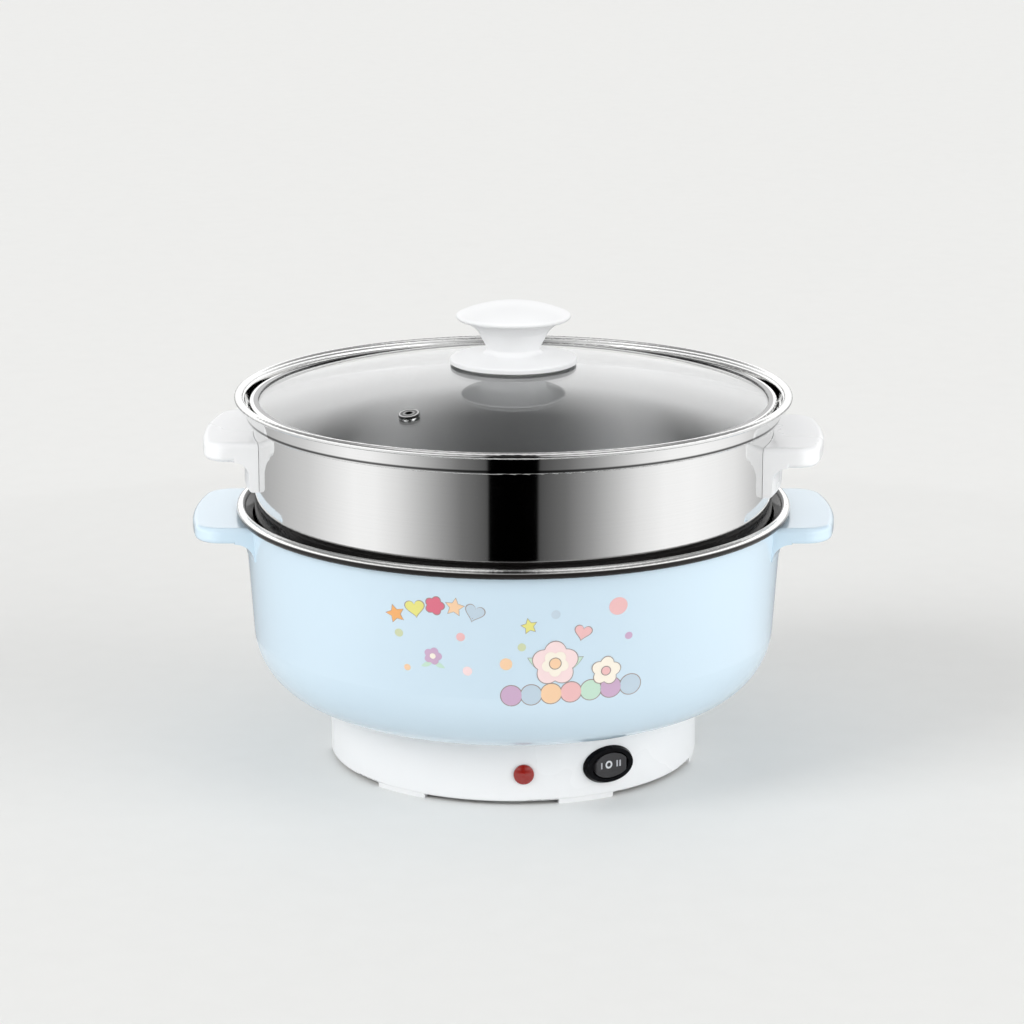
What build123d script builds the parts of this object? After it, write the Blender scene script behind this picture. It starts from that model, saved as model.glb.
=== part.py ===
from build123d import *
import math
import os

# Electric hot pot with a steamer basket and a glass lid.
# Millimetres and degrees. Z = 0 is the table top and the Z axis is the pot's axis.
# Azimuths are counted from the front (-Y) towards the right-hand side (+X).

# ---------------------------------------------------------------- driving dimensions
# Base
foot_height = 2.0
foot_count = 6
foot_sweep = 18.0
foot_width = 3.2
foot_offset = -7.1
foot_draft = 0.4
base_height = 29.7
base_radius = 93.5
base_wall = 2.6
base_edge_rounding = 1.4
deck_thickness = 2.2
cover_thickness = 2.4
cover_recess = 1.0
cover_clearance = 0.25
cover_rib_width = 2.0
cover_rib_height = 1.2
boss_radius = 4.2
boss_gap = 2.7
boss_pad_width = 1.2
boss_count = 3
fixing_screw_radius = 1.4
fixing_head_radius = 3.0
fixing_head_height = 1.6
fixing_screw_length = 12.0
fixing_hole_depth = 14.0
fixing_slot_width = 1.0
fixing_slot_depth = 1.2
vent_rings = 2
vent_slots = 6
vent_width = 3.0
vent_first_radius = 34.0
vent_pitch = 14.0
vent_share = 0.55

# Bowl of the pot: flat floor, shallow arc, corner arc, leaning wall
bowl_flat_radius = 72.4
bowl_floor_arc_sweep = 9.8
bowl_corner_radius = 35.4
bowl_wall_lean = 3.83
bowl_height = 98.1
shell_wall = 2.2
air_gap = 5.2
pot_wall = 1.2
rim_radius = 140.0
rim_overhang = 3.94
rim_bead_width = 4.8
rim_bead_height = 5.2
rim_flare_height = 4.2
ledge_depth = 9.2
ledge_rounding = 1.2
rim_gap = 0.25

# Pot handles, moulded with the shell
pot_handle_length = 22.0
pot_handle_width = 86.0
pot_handle_thickness = 8.0
pot_handle_corner = 14.0
pot_handle_web = 9.0
pot_handle_edge = 2.6
pot_handle_wall = 2.8
pot_handle_rib = 1.8
pot_handle_rib_spread = 26.0

# Steamer basket
steamer_wall = 0.6
steamer_height = 56.1
steamer_rim_overhang = 9.2
steamer_bead_width = 4.2
steamer_bead_height = 3.2
steamer_turn = -2.5
collar_step = 3.4
collar_height = 10.0
collar_flare = 1.4
nest_depth = 13.0
nest_rounding = 4.0
shoulder_rounding = 1.4
collar_rounding = 0.9
nest_clearance = 0.9
recess_clearance = 0.8
steam_hole_radius = 3.4
steam_hole_rings = 3
steam_hole_pitch = 26.0
steam_holes_per_ring = 8

# Steamer handles
steamer_handle_length = 16.0
steamer_handle_width = 80.0
steamer_handle_thickness = 10.0
steamer_handle_corner = 12.0
steamer_handle_leg = 25.0
steamer_handle_leg_thickness = 4.6
steamer_handle_web = 7.0
steamer_handle_edge = 3.0
steamer_handle_leg_edge = 1.6
steamer_handle_drop = 8.3
handle_screw_radius = 2.0
handle_screw_spread = 40.0
handle_screw_length = 15.0
handle_screw_head_radius = 3.8
handle_screw_head_height = 1.8
handle_screw_head_gap = 0.6
handle_screw_head_taper = 20.0
handle_screw_tip_gap = 2.4

# Glass lid
lid_clearance = 1.2
lid_band_width = 4.3
lid_band_height = 7.9
lid_band_wall = 0.6
lid_band_rounding = 0.9
lid_band_lip = 0.4
glass_thickness = 3.6
glass_edge_gap = 0.5
screw_hole_margin = 1.0
dome_rise = 18.1
vent_distance = 94.4
vent_azimuth = -32.0
vent_hole_radius = 3.6
vent_bore_radius = 1.6
vent_flange_radius = 5.2
vent_flange_height = 1.3

# Lid knob
knob_flange_radius = 31.8
knob_flange_height = 2.6
knob_flange_rise = 2.0
knob_foot_width = 3.0
knob_throat_width = 4.2
knob_stem_radius = 13.3
knob_stem_height = 6.3
knob_neck_radius = 17.8
knob_neck_height = 14.8
knob_crown_radius = 28.7
knob_tip_height = 22.2
knob_tip_rounding = 1.3
knob_crown_rise = 6.0
knob_edge_rounding = 1.0
gasket_thickness = 1.0
gasket_margin = 3.8
knob_screw_radius = 2.5
knob_screw_length = 16.5
knob_screw_head_radius = 5.0
knob_screw_head_height = 3.0
knob_slot_width = 1.1
knob_insert_radius = 4.5
knob_insert_length = 11.0
washer_radius = 9.0
washer_step = 1.0
washer_thickness = 1.2

# Heater and its guard, under the pot
heater_radius = 62.0
heater_thickness = 4.0
inner_ridge_inset = 28.0
outer_ridge_inset = 9.0
heater_ridge_size = 4.2
terminal_leg_radius = 3.2
terminal_leg_length = 7.0
terminal_pin_radius = 1.3
terminal_pin_length = 9.0
terminal_spread = 12.0
thermostat_radius = 8.0
thermostat_height = 8.5
thermostat_flange_width = 1.2
thermostat_flange_height = 1.2
thermostat_flange_drop = 2.2
thermostat_blade_length = 8.0
strap_wall = 0.8
strap_width = 8.0
strap_length = 13.0
strap_hub_width = 2.4
strap_hold_width = 3.6
strap_rise_width = 1.6
shield_thickness = 0.6
shield_margin = 1.0
shield_depth = 4.4
shield_rounding = 2.0
shield_flange_width = 5.0
shield_opening_radius = 15.0
shield_hole_radius = 5.5
stud_radius = 2.0
stud_collar_radius = 4.0
stud_margin = 6.0
stud_count = 3
stud_offset = 30.0
stud_length = 5.4
nut_flats = 7.0
nut_height = 3.0
fuse_radius = 2.4
fuse_length = 22.0
fuse_offset = 27.0
deck_margin = 4.0
shell_margin = 6.0

# Rocker switch
switch_azimuth = 30.0
switch_height = 17.4
switch_bezel_size = (28.0, 19.2)
switch_bezel_height = 2.2
switch_bezel_slope = 1.0
switch_body_size = (23.4, 15.4)
switch_body_depth = 18.0
rocker_size = (19.4, 12.4)
rocker_gap = 0.7
rocker_depth = 5.0
rocker_wing_height = 3.4
rocker_middle_height = 2.3
rocker_pivot_depth = 1.6
rocker_pin_radius = 1.2
rocker_pin_length = 1.5
rocker_pin_clearance = 0.08
rocker_cavity_depth = 9.5
blade_width = 4.8
blade_thickness = 0.8
blade_length = 7.0
switch_blade_pitch = 7.0

# Indicator
indicator_azimuth = 3.1
indicator_height = 16.3
indicator_radius = 5.0
indicator_body_radius = 4.0
indicator_flange_height = 1.0
indicator_dome_height = 1.4
indicator_body_length = 9.0
indicator_wall = 1.0
indicator_clip_radius = 5.6
indicator_clip_thickness = 0.6
lamp_radius = 2.4
lamp_length = 14.0
lamp_gap = 0.8

# Power inlet at the back
inlet_height = 17.0
inlet_bezel_size = (31.0, 23.0)
inlet_bezel_height = 2.0
inlet_body_size = (27.0, 19.6)
inlet_body_depth = 20.0
inlet_recess_size = (24.2, 16.6)
inlet_recess_depth = 17.0
inlet_corner = 2.5
inlet_pin_size = (2.0, 4.0)
inlet_pin_length = 15.0
inlet_pin_root = 1.0
inlet_pin_spacing = 14.0
inlet_earth_offset = 4.0

# Leads
lead_radius = 1.3
lead_lug_gap = 0.3
lead_bend = 2.6
lead_drop = 3.0
lead_straight = 11.0
lead_approach = 14.0
thermostat_lead_run = 16.0
link_run = 20.0
link_side = 8.0

# General clearances
seat_gap = 0.1
slip_gap = 0.2
press_gap = 0.02

# ---------------------------------------------------------------- derived levels and radii
base_bottom_z = foot_height
bowl_floor_z = foot_height + base_height
rim_z = bowl_floor_z + bowl_height
rim_bead_centre_radius = rim_radius - rim_bead_width / 2
shell_top_z = rim_z - rim_bead_height / 2 - rim_gap
ledge_z = rim_z - ledge_depth
pot_outer_inset = shell_wall + air_gap
pot_inner_inset = pot_outer_inset + pot_wall
pot_handle_reach = rim_radius + pot_handle_length

steamer_rim_radius = rim_radius
steamer_radius = steamer_rim_radius - steamer_rim_overhang
steamer_handle_reach = steamer_rim_radius + steamer_handle_length
recess_radius = steamer_radius + recess_clearance

shell_opening_radius = heater_radius + shell_margin
deck_opening_radius = heater_radius + deck_margin
deck_top_z = bowl_floor_z - seat_gap
deck_bottom_z = deck_top_z - deck_thickness
cover_bottom_z = base_bottom_z + cover_recess
cover_top_z = cover_bottom_z + cover_thickness
base_inner_radius = base_radius - base_wall
boss_circle_radius = base_inner_radius - boss_radius - boss_gap
foot_inner_radius = base_inner_radius - foot_width / 4

steamer_seat_z = ledge_z + seat_gap
nest_bottom_z = steamer_seat_z - nest_depth
collar_z = steamer_seat_z + steamer_height - seat_gap
collar_radius = steamer_radius + collar_step
steamer_rim_z = collar_z + collar_height
steamer_bead_centre_radius = steamer_rim_radius - steamer_bead_width / 2
steamer_handle_top_z = collar_z - steamer_handle_drop

lid_seat_z = collar_z + steamer_wall + seat_gap
lid_band_top_z = lid_seat_z + lid_band_height
lid_band_radius = collar_radius - steamer_wall - lid_clearance
lid_band_inner_radius = lid_band_radius - lid_band_width
glass_rim_radius = lid_band_inner_radius
glass_rim_z = lid_band_top_z - lid_band_wall - seat_gap
glass_radius = lid_band_radius - lid_band_wall - glass_edge_gap
dome_radius = (glass_rim_radius ** 2 + dome_rise ** 2) / (2 * dome_rise)
dome_top_z = glass_rim_z + dome_rise
dome_centre_z = dome_top_z - dome_radius
gasket_radius = knob_flange_radius - gasket_margin

heater_top_z = bowl_floor_z + pot_outer_inset - seat_gap
heater_bottom_z = heater_top_z - heater_thickness
heater_ridge_radii = (heater_radius - inner_ridge_inset, heater_radius - outer_ridge_inset)
ridge_bottom_z = heater_bottom_z - heater_ridge_size / 2
terminal_leg_bottom_z = ridge_bottom_z - terminal_leg_length
thermostat_bottom_z = heater_bottom_z - thermostat_height
terminal_pin_bottom_z = terminal_leg_bottom_z - terminal_pin_length
shield_radius = heater_radius + shield_margin
stud_circle_radius = shell_opening_radius + stud_margin
shield_flange_radius = stud_circle_radius + shield_flange_width
shield_flange_bottom_z = deck_bottom_z - shield_thickness
shield_bottom_z = shield_flange_bottom_z - shield_depth
stud_bottom_z = shield_flange_bottom_z - stud_length

# The floor arc takes the radius that brings the leaning wall to the mouth
lean_angle = math.radians(bowl_wall_lean)
floor_arc_angle = math.radians(bowl_floor_arc_sweep)
mouth_run = rim_radius - rim_overhang - bowl_flat_radius
wall_run = (shell_top_z - bowl_floor_z) * math.tan(lean_angle)
corner_run = bowl_corner_radius * (
    math.cos(lean_angle) - math.sin(floor_arc_angle)
    + math.tan(lean_angle) * (math.sin(lean_angle) - math.cos(floor_arc_angle))
)
bowl_floor_arc_radius = (mouth_run - wall_run - corner_run) / (
    math.sin(floor_arc_angle) - math.tan(lean_angle) * (1 - math.cos(floor_arc_angle)))

# Centres of the two arcs of the bowl's outline
floor_arc_centre = (bowl_flat_radius, bowl_floor_z + bowl_floor_arc_radius)
arc_centre_distance = bowl_floor_arc_radius - bowl_corner_radius
corner_arc_centre = (
    floor_arc_centre[0] + arc_centre_distance * math.sin(floor_arc_angle),
    floor_arc_centre[1] - arc_centre_distance * math.cos(floor_arc_angle),
)


# ---------------------------------------------------------------- helpers
def polygon(*points):
    """Face bounded by straight lines."""
    return make_face(Polyline(*points, close=True))


def rounded_polygon(points, radius):
    """Face bounded by straight lines with one radius on all its corners."""
    return make_face(FilletPolyline(*points, radius=radius, close=True))


def strip(path, thickness, side=Side.LEFT):
    """Section of a sheet that lies on one side of a path."""
    return make_face(offset(path, amount=thickness, side=side, closed=True))


def spin(section, sweep=360.0):
    """Solid of revolution about Z of a section drawn as (radius, height)."""
    turned = revolve(Plane.XZ * section, Axis.Z, sweep)
    return Rot(0, 0, -sweep / 2) * turned if sweep < 360 else turned


def disc(radius, bottom_z, height):
    """Upright cylinder standing on a level."""
    return Pos(0, 0, bottom_z) * extrude(Circle(radius), height)


def ring(outer_radius, inner_radius, bottom_z, height):
    """Upright tube standing on a level."""
    return Pos(0, 0, bottom_z) * extrude(Circle(outer_radius) - Circle(inner_radius), height)


def polar_point(radius, azimuth, height):
    """Point at an azimuth counted from the front."""
    angle = math.radians(azimuth)
    return (radius * math.sin(angle), -radius * math.cos(angle), height)


def face_plane(azimuth, height, radius=base_radius):
    """Plane on the side of the base: X to the right, Y up, Z outwards."""
    angle = math.radians(azimuth)
    return Plane(
        origin=polar_point(radius, azimuth, height),
        x_dir=(math.cos(angle), math.sin(angle), 0),
        z_dir=(math.sin(angle), -math.cos(angle), 0),
    )


def around(count, radius, offset_angle=0.0):
    """Places spread evenly on a circle."""
    return PolarLocations(radius, count, start_angle=offset_angle)


def gather(solids):
    """One node that holds several separate solids."""
    return Compound(children=[solid for shape in solids for solid in shape.solids()])


def bowl_radius(height, inset):
    """Radius of the leaning wall at a height, inset from the outside."""
    foot_radius = corner_arc_centre[0] + (bowl_corner_radius - inset) * math.cos(lean_angle)
    foot_z = corner_arc_centre[1] - (bowl_corner_radius - inset) * math.sin(lean_angle)
    return foot_radius + (height - foot_z) * math.tan(lean_angle)


def bowl_outline(inset, start_radius, top_z):
    """Edges of the bowl's outline from its floor to its wall's top, moved inward by an inset."""
    corner_sweep = 90 - bowl_floor_arc_sweep - bowl_wall_lean
    floor_arc = CenterArc(floor_arc_centre, bowl_floor_arc_radius - inset, 270, bowl_floor_arc_sweep)
    corner_arc = CenterArc(
        corner_arc_centre, bowl_corner_radius - inset, 270 + bowl_floor_arc_sweep, corner_sweep
    )
    floor_line = Line((start_radius, bowl_floor_z + inset), floor_arc @ 0)
    wall_line = Line(corner_arc @ 1, (bowl_radius(top_z, inset), top_z))
    return [floor_line, floor_arc, corner_arc, wall_line]


def bowl_space(inset, top_z):
    """Everything inside the bowl's outline, as a solid."""
    edges = bowl_outline(inset, 0, top_z)
    lid_line = Line(edges[-1] @ 1, (0, top_z))
    axis_line = Line((0, top_z), (0, bowl_floor_z + inset))
    return spin(make_face(edges + [lid_line, axis_line]))


def handle_plan(inner_radius, reach, width, corner):
    """Plan of a handle: a sector of a ring between two parallel ends, with rounded outer corners."""
    sector = Circle(reach) - Circle(inner_radius)
    plan = sector & (Pos(reach / 2, 0) * Rectangle(reach, width))
    outer_corners = plan.vertices().group_by(Axis.X)[-1]
    return fillet(outer_corners, corner)


def handle_slab(plan, inner_radius, bottom_z, thickness, rounding):
    """Slab of a handle, rounded along every edge that a hand can touch."""
    slab = Pos(0, 0, bottom_z) * extrude(plan, thickness)
    levels = slab.faces().filter_by(Axis.Z).sort_by(Axis.Z)
    edges = [
        edge for edge in levels[0].edges() + levels[-1].edges()
        if math.hypot((edge @ 0.5).X, (edge @ 0.5).Y) > inner_radius + rounding
    ]
    return fillet(edges, rounding)


def handle_web(wall_radius, outer_radius, slab_bottom_z, size, overlap):
    """Section of the concave web between the underside of a handle and the wall."""
    web_arc = RadiusArc(
        (outer_radius + size, slab_bottom_z), (outer_radius, slab_bottom_z - size), -size)
    foot = (wall_radius, slab_bottom_z - size)
    inner_top = (wall_radius, slab_bottom_z + overlap)
    outer_top = (outer_radius + size, slab_bottom_z + overlap)
    return make_face([
        web_arc, Line(web_arc @ 1, foot), Line(foot, inner_top), Line(inner_top, outer_top),
        Line(outer_top, web_arc @ 0),
    ])


def handle_sweep(width, radius):
    """Sweep in degrees that spans the whole width of a handle at a radius."""
    return 2.2 * math.degrees(math.asin(width / 2 / radius))


# ---------------------------------------------------------------- pot
def make_outer_shell():
    """Moulded outer shell with its two handles."""
    outside = bowl_outline(0, shell_opening_radius, shell_top_z)
    inside = bowl_outline(shell_wall, shell_opening_radius, shell_top_z)
    opening_edge = Line(outside[0] @ 0, inside[0] @ 0)
    top_edge = Line(outside[-1] @ 1, inside[-1] @ 1)
    shell = spin(make_face(outside + inside + [opening_edge, top_edge]))

    # A handle is a slab with a web under it that runs down into the wall, cored from below.
    bottom = shell_top_z - pot_handle_thickness
    wall_radius = bowl_radius(bottom, shell_wall / 2)
    outer_wall_radius = bowl_radius(bottom, 0)
    plan = handle_plan(wall_radius, pot_handle_reach, pot_handle_width, pot_handle_corner)
    slab = handle_slab(plan, wall_radius, bottom, pot_handle_thickness, pot_handle_edge)
    web = spin(
        handle_web(wall_radius, outer_wall_radius, bottom, pot_handle_web, pot_handle_edge),
        handle_sweep(pot_handle_width, wall_radius),
    )
    web_plan = Pos(wall_radius, 0) * Rectangle(2 * pot_handle_web + pot_handle_length, pot_handle_width)
    web &= extrude(web_plan, rim_z)
    core_plan = handle_plan(
        outer_wall_radius + pot_handle_web,
        pot_handle_reach - pot_handle_wall,
        pot_handle_width - 2 * pot_handle_wall,
        pot_handle_corner - pot_handle_wall,
    )
    rib = Rectangle(2 * pot_handle_reach, pot_handle_rib)
    ribs = [Pos(0, side * pot_handle_rib_spread / 2) * rib for side in (-1, 1)]
    core = Pos(0, 0, bottom) * extrude(core_plan - ribs, pot_handle_thickness - pot_handle_wall)
    handle = slab + web - core - bowl_space(shell_wall / 2, shell_top_z)
    stud_holes = [
        Pos(0, 0, bowl_floor_z) * place * Cylinder(stud_radius + slip_gap, shell_wall * 4)
        for place in around(stud_count, stud_circle_radius, stud_offset)
    ]
    return shell + handle + Rot(0, 0, 180) * handle - stud_holes


def make_inner_pot():
    """Pressed inner pot: bowl, ledge that carries the steamer, flared mouth and rolled rim."""
    bend_z = (ledge_z + corner_arc_centre[1]) / 2
    bowl = Curve() + bowl_outline(pot_inner_inset, 0, bend_z)
    flare_start_z = rim_z + rim_bead_height / 4 - rim_flare_height
    bead_shoulder = (rim_bead_centre_radius - rim_bead_width / 3, rim_z + rim_bead_height / 4)
    mouth = FilletPolyline(
        (bowl_radius(bend_z, pot_inner_inset), bend_z),
        (bowl_radius(ledge_z, pot_inner_inset), ledge_z),
        (recess_radius, ledge_z),
        (recess_radius, flare_start_z),
        bead_shoulder,
        radius=ledge_rounding,
    )
    section = strip(bowl + mouth, pot_wall, Side.RIGHT)
    bead = Pos(rim_bead_centre_radius, rim_z) * Ellipse(rim_bead_width / 2, rim_bead_height / 2)
    return spin(section + bead)


# ---------------------------------------------------------------- heater
def terminal_points():
    """Places of the element ends: front and rear end of the inner coil, then of the outer coil."""
    inner, outer = [math.sqrt(radius ** 2 - terminal_spread ** 2) for radius in heater_ridge_radii]
    return [(x, y) for x in (-inner, outer) for y in (-terminal_spread, terminal_spread)]


def make_heater_plate():
    """Cast plate with two round ridges that hold the heating coils."""
    plate = Pos(heater_radius / 2, heater_bottom_z + heater_thickness / 2) * Rectangle(
        heater_radius, heater_thickness)
    for radius in heater_ridge_radii:
        plate += Pos(radius, heater_bottom_z) * Ellipse(heater_ridge_size, heater_ridge_size / 2)
    legs = [
        Pos(x, y, ridge_bottom_z - terminal_leg_length) * extrude(
            Circle(terminal_leg_radius), terminal_leg_length + heater_ridge_size / 2)
        for x, y in terminal_points()
    ]
    return spin(plate) + legs


def make_element_terminals():
    """Pins that come out of the ends of the heating coils."""
    return gather([
        Pos(x, y, terminal_pin_bottom_z) * extrude(Circle(terminal_pin_radius), terminal_pin_length)
        for x, y in terminal_points()
    ])


def make_thermostat():
    """Disc thermostat pressed to the middle of the plate, with two blades."""
    body = disc(thermostat_radius, thermostat_bottom_z, thermostat_height)
    flange = disc(
        thermostat_radius + thermostat_flange_width,
        heater_bottom_z - thermostat_flange_drop,
        thermostat_flange_height,
    )
    blade = Box(
        blade_thickness, blade_width, thermostat_blade_length + thermostat_height / 2,
        align=(Align.CENTER, Align.CENTER, Align.MIN))
    blade_bottom = thermostat_bottom_z - thermostat_blade_length
    blades = [Pos(side * thermostat_radius / 2, 0, blade_bottom) * blade for side in (-1, 1)]
    return body + flange + blades


def make_thermostat_strap():
    """Bent strap that holds the thermostat by its flange."""
    hold_z = heater_bottom_z - thermostat_flange_drop - strap_wall
    foot_z = heater_bottom_z - seat_gap - strap_wall
    hold_radius = thermostat_radius + strap_hold_width
    path = FilletPolyline(
        (hold_radius - strap_rise_width, hold_z),
        (hold_radius, hold_z),
        (hold_radius + strap_rise_width, foot_z),
        (thermostat_radius + strap_length, foot_z),
        radius=strap_wall,
    )
    arm = extrude(Plane.XZ * strip(path, strap_wall), strap_width / 2, both=True)
    hub = ring(thermostat_radius + strap_hub_width, thermostat_radius + slip_gap, hold_z, strap_wall)
    return hub + [Rot(0, 0, turn) * arm for turn in (90, 270)]


def make_heat_shield():
    """Dished guard between the hot plate and the wiring, clamped under the deck."""
    path = FilletPolyline(
        (shield_opening_radius, shield_bottom_z),
        (shield_radius, shield_bottom_z),
        (shield_radius + shield_depth, shield_flange_bottom_z),
        (shield_flange_radius, shield_flange_bottom_z),
        radius=shield_rounding,
    )
    shield = spin(strip(path, shield_thickness))
    holes = [
        Pos(x, y, shield_bottom_z) * Cylinder(shield_hole_radius, shield_depth)
        for x, y in terminal_points()
    ]
    stud_holes = [
        Pos(0, 0, shield_flange_bottom_z) * place * Cylinder(stud_radius + slip_gap, shield_depth)
        for place in around(stud_count, stud_circle_radius, stud_offset)
    ]
    return shield - holes - stud_holes


def make_pot_studs():
    """Studs under the inner pot, with collars that space it from the shell."""
    collar_bottom = bowl_floor_z + shell_wall + 2 * seat_gap
    collar_top = bowl_floor_z + pot_outer_inset - seat_gap
    collar = Pos(0, 0, collar_bottom) * extrude(Circle(stud_collar_radius), collar_top - collar_bottom)
    shank = Pos(0, 0, stud_bottom_z) * extrude(Circle(stud_radius), collar_top - stud_bottom_z)
    stud = collar + shank
    return gather([place * stud for place in around(stud_count, stud_circle_radius, stud_offset)])


def make_base_nuts():
    """Nuts on the studs; they clamp guard, base, shell and pot together."""
    outline = RegularPolygon(nut_flats / math.sqrt(3), 6) - Circle(stud_radius + seat_gap / 2)
    nut = Pos(0, 0, shield_flange_bottom_z - nut_height) * extrude(outline, nut_height - seat_gap / 2)
    return gather([place * nut for place in around(stud_count, stud_circle_radius, stud_offset)])


# ---------------------------------------------------------------- base
def base_cutters():
    """Openings in the side of the base for the switch, the indicator and the inlet."""
    depth = base_wall * 3
    switch_face = face_plane(switch_azimuth, switch_height)
    switch_hole = Ellipse(switch_body_size[0] / 2 + slip_gap, switch_body_size[1] / 2 + slip_gap)
    indicator_face = face_plane(indicator_azimuth, indicator_height)
    inlet_face = face_plane(180, inlet_height)
    inlet_hole = RectangleRounded(
        inlet_body_size[0] + slip_gap * 2, inlet_body_size[1] + slip_gap * 2, inlet_corner)
    return [
        extrude(switch_face * switch_hole, depth, both=True),
        extrude(indicator_face * Circle(indicator_body_radius + slip_gap), depth, both=True),
        extrude(inlet_face * inlet_hole, depth, both=True),
    ]


def make_base_housing():
    """Round housing: side wall, deck under the shell, screw bosses and six arc-shaped feet."""
    top_z = bowl_floor_z + base_wall
    wall = rounded_polygon(
        [
            (base_inner_radius, base_bottom_z),
            (base_radius, base_bottom_z),
            (base_radius, top_z + base_edge_rounding),
            (base_inner_radius, top_z + base_edge_rounding),
        ],
        base_edge_rounding * 0.85,
    )
    deck = polygon(
        (deck_opening_radius, deck_bottom_z),
        (base_radius - base_wall / 2, deck_bottom_z),
        (base_radius - base_wall / 2, deck_top_z),
        (deck_opening_radius, deck_top_z),
    )
    foot_outer_radius = foot_inner_radius + foot_width
    foot = polygon(
        (foot_inner_radius, 0),
        (foot_outer_radius - foot_draft, 0),
        (foot_outer_radius, foot_height + base_edge_rounding),
        (foot_inner_radius, foot_height + base_edge_rounding),
    )
    foot_piece = Rot(0, 0, -90 + foot_offset + 180 / foot_count) * spin(foot, foot_sweep)
    feet = [Rot(0, 0, step * 360 / foot_count) * foot_piece for step in range(foot_count)]
    boss = Pos(0, 0, cover_top_z + seat_gap) * extrude(
        Circle(boss_radius), deck_top_z - cover_top_z - deck_thickness / 2)
    boss_hole = Pos(0, 0, cover_top_z) * extrude(Circle(fixing_screw_radius), fixing_hole_depth)
    bosses = [place * boss for place in around(boss_count, boss_circle_radius)]
    boss_holes = [place * boss_hole for place in around(boss_count, boss_circle_radius)]
    stud_holes = [
        Pos(0, 0, deck_bottom_z) * place * Cylinder(stud_radius + slip_gap, deck_thickness * 4)
        for place in around(stud_count, stud_circle_radius, stud_offset)
    ]
    housing = spin(wall) + spin(deck) + bosses + feet
    housing = housing - boss_holes - stud_holes - base_cutters()
    return housing - bowl_space(-seat_gap / 2, rim_z)


def make_bottom_cover():
    """Inset cover plate with arc-shaped vents and countersinks for its screws."""
    radius = foot_inner_radius - cover_clearance
    cover = disc(radius, cover_bottom_z, cover_thickness)
    rib_radius = boss_circle_radius - boss_radius - cover_rib_width * 2
    rib_top = cover_thickness + cover_rib_height
    cover += ring(rib_radius, rib_radius - cover_rib_width, cover_bottom_z, rib_top)
    for step in range(vent_rings):
        slot_radius = vent_first_radius + step * vent_pitch
        slot_sweep = vent_share * 360 / vent_slots
        section = Pos(slot_radius, cover_bottom_z + cover_thickness / 2) * Rectangle(
            vent_width, cover_thickness * 2)
        slot = spin(section, slot_sweep)
        cover -= [Rot(0, 0, index * 360 / vent_slots) * slot for index in range(vent_slots)]
    boss_pad = Pos(0, 0, cover_bottom_z) * extrude(Circle(boss_radius + boss_pad_width), cover_thickness)
    cover += [place * boss_pad for place in around(boss_count, boss_circle_radius)]
    head_pocket = Pos(0, 0, base_bottom_z) * extrude(
        Circle(fixing_head_radius + slip_gap), cover_recess + fixing_head_height + seat_gap)
    shank_hole = Pos(0, 0, cover_bottom_z) * extrude(
        Circle(fixing_screw_radius + slip_gap), cover_thickness * 2)
    places = list(around(boss_count, boss_circle_radius))
    cover = cover - [place * head_pocket for place in places] - [place * shank_hole for place in places]
    return cover & disc(radius, 0, deck_top_z)


def make_cover_screws():
    """Pan-head screws, sunk in the bottom cover, that hold it to the bosses."""
    head = extrude(Circle(fixing_head_radius), fixing_head_height)
    shank = extrude(Circle(fixing_screw_radius - press_gap), fixing_screw_length)
    slot_length = fixing_head_radius * 1.4
    cross = Box(fixing_slot_width, slot_length, fixing_slot_depth) + Box(
        slot_length, fixing_slot_width, fixing_slot_depth)
    screw = Pos(0, 0, cover_bottom_z) * (head + shank - cross)
    return gather([place * screw for place in around(boss_count, boss_circle_radius)])


# ---------------------------------------------------------------- switch
def base_side_space():
    """The round side of the base, used to give flanges a back that follows it."""
    return disc(base_radius + seat_gap / 2, 0, rim_z)


def make_switch_frame():
    """Oval frame with a bezel, a cavity for the rocker and pockets for its pins."""
    face = face_plane(switch_azimuth, switch_height)
    bezel_oval = Ellipse(switch_bezel_size[0] / 2, switch_bezel_size[1] / 2)
    bezel_face = Ellipse(
        switch_bezel_size[0] / 2 - switch_bezel_slope, switch_bezel_size[1] / 2 - switch_bezel_slope)
    bezel = loft([face * bezel_oval, face.offset(switch_bezel_height) * bezel_face])
    skirt = extrude(face * bezel_oval, -base_wall)
    bezel = bezel + (skirt - base_side_space())
    body_oval = Ellipse(switch_body_size[0] / 2, switch_body_size[1] / 2)
    body = extrude(face * body_oval, -switch_body_depth)
    cavity_oval = Ellipse(rocker_size[0] / 2 + rocker_gap, rocker_size[1] / 2 + rocker_gap)
    cavity_floor = face.offset(-rocker_cavity_depth)
    cavity = extrude(cavity_floor * cavity_oval, rocker_cavity_depth + switch_bezel_height * 2)
    pin_span = rocker_size[1] + 2 * rocker_pin_length + 2 * rocker_gap
    pin_bore = Pos(0, 0, -rocker_pivot_depth) * Rot(90, 0, 0) * Cylinder(
        rocker_pin_radius + rocker_pin_clearance, pin_span)
    return bezel + body - cavity - face.location * pin_bore


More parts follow.
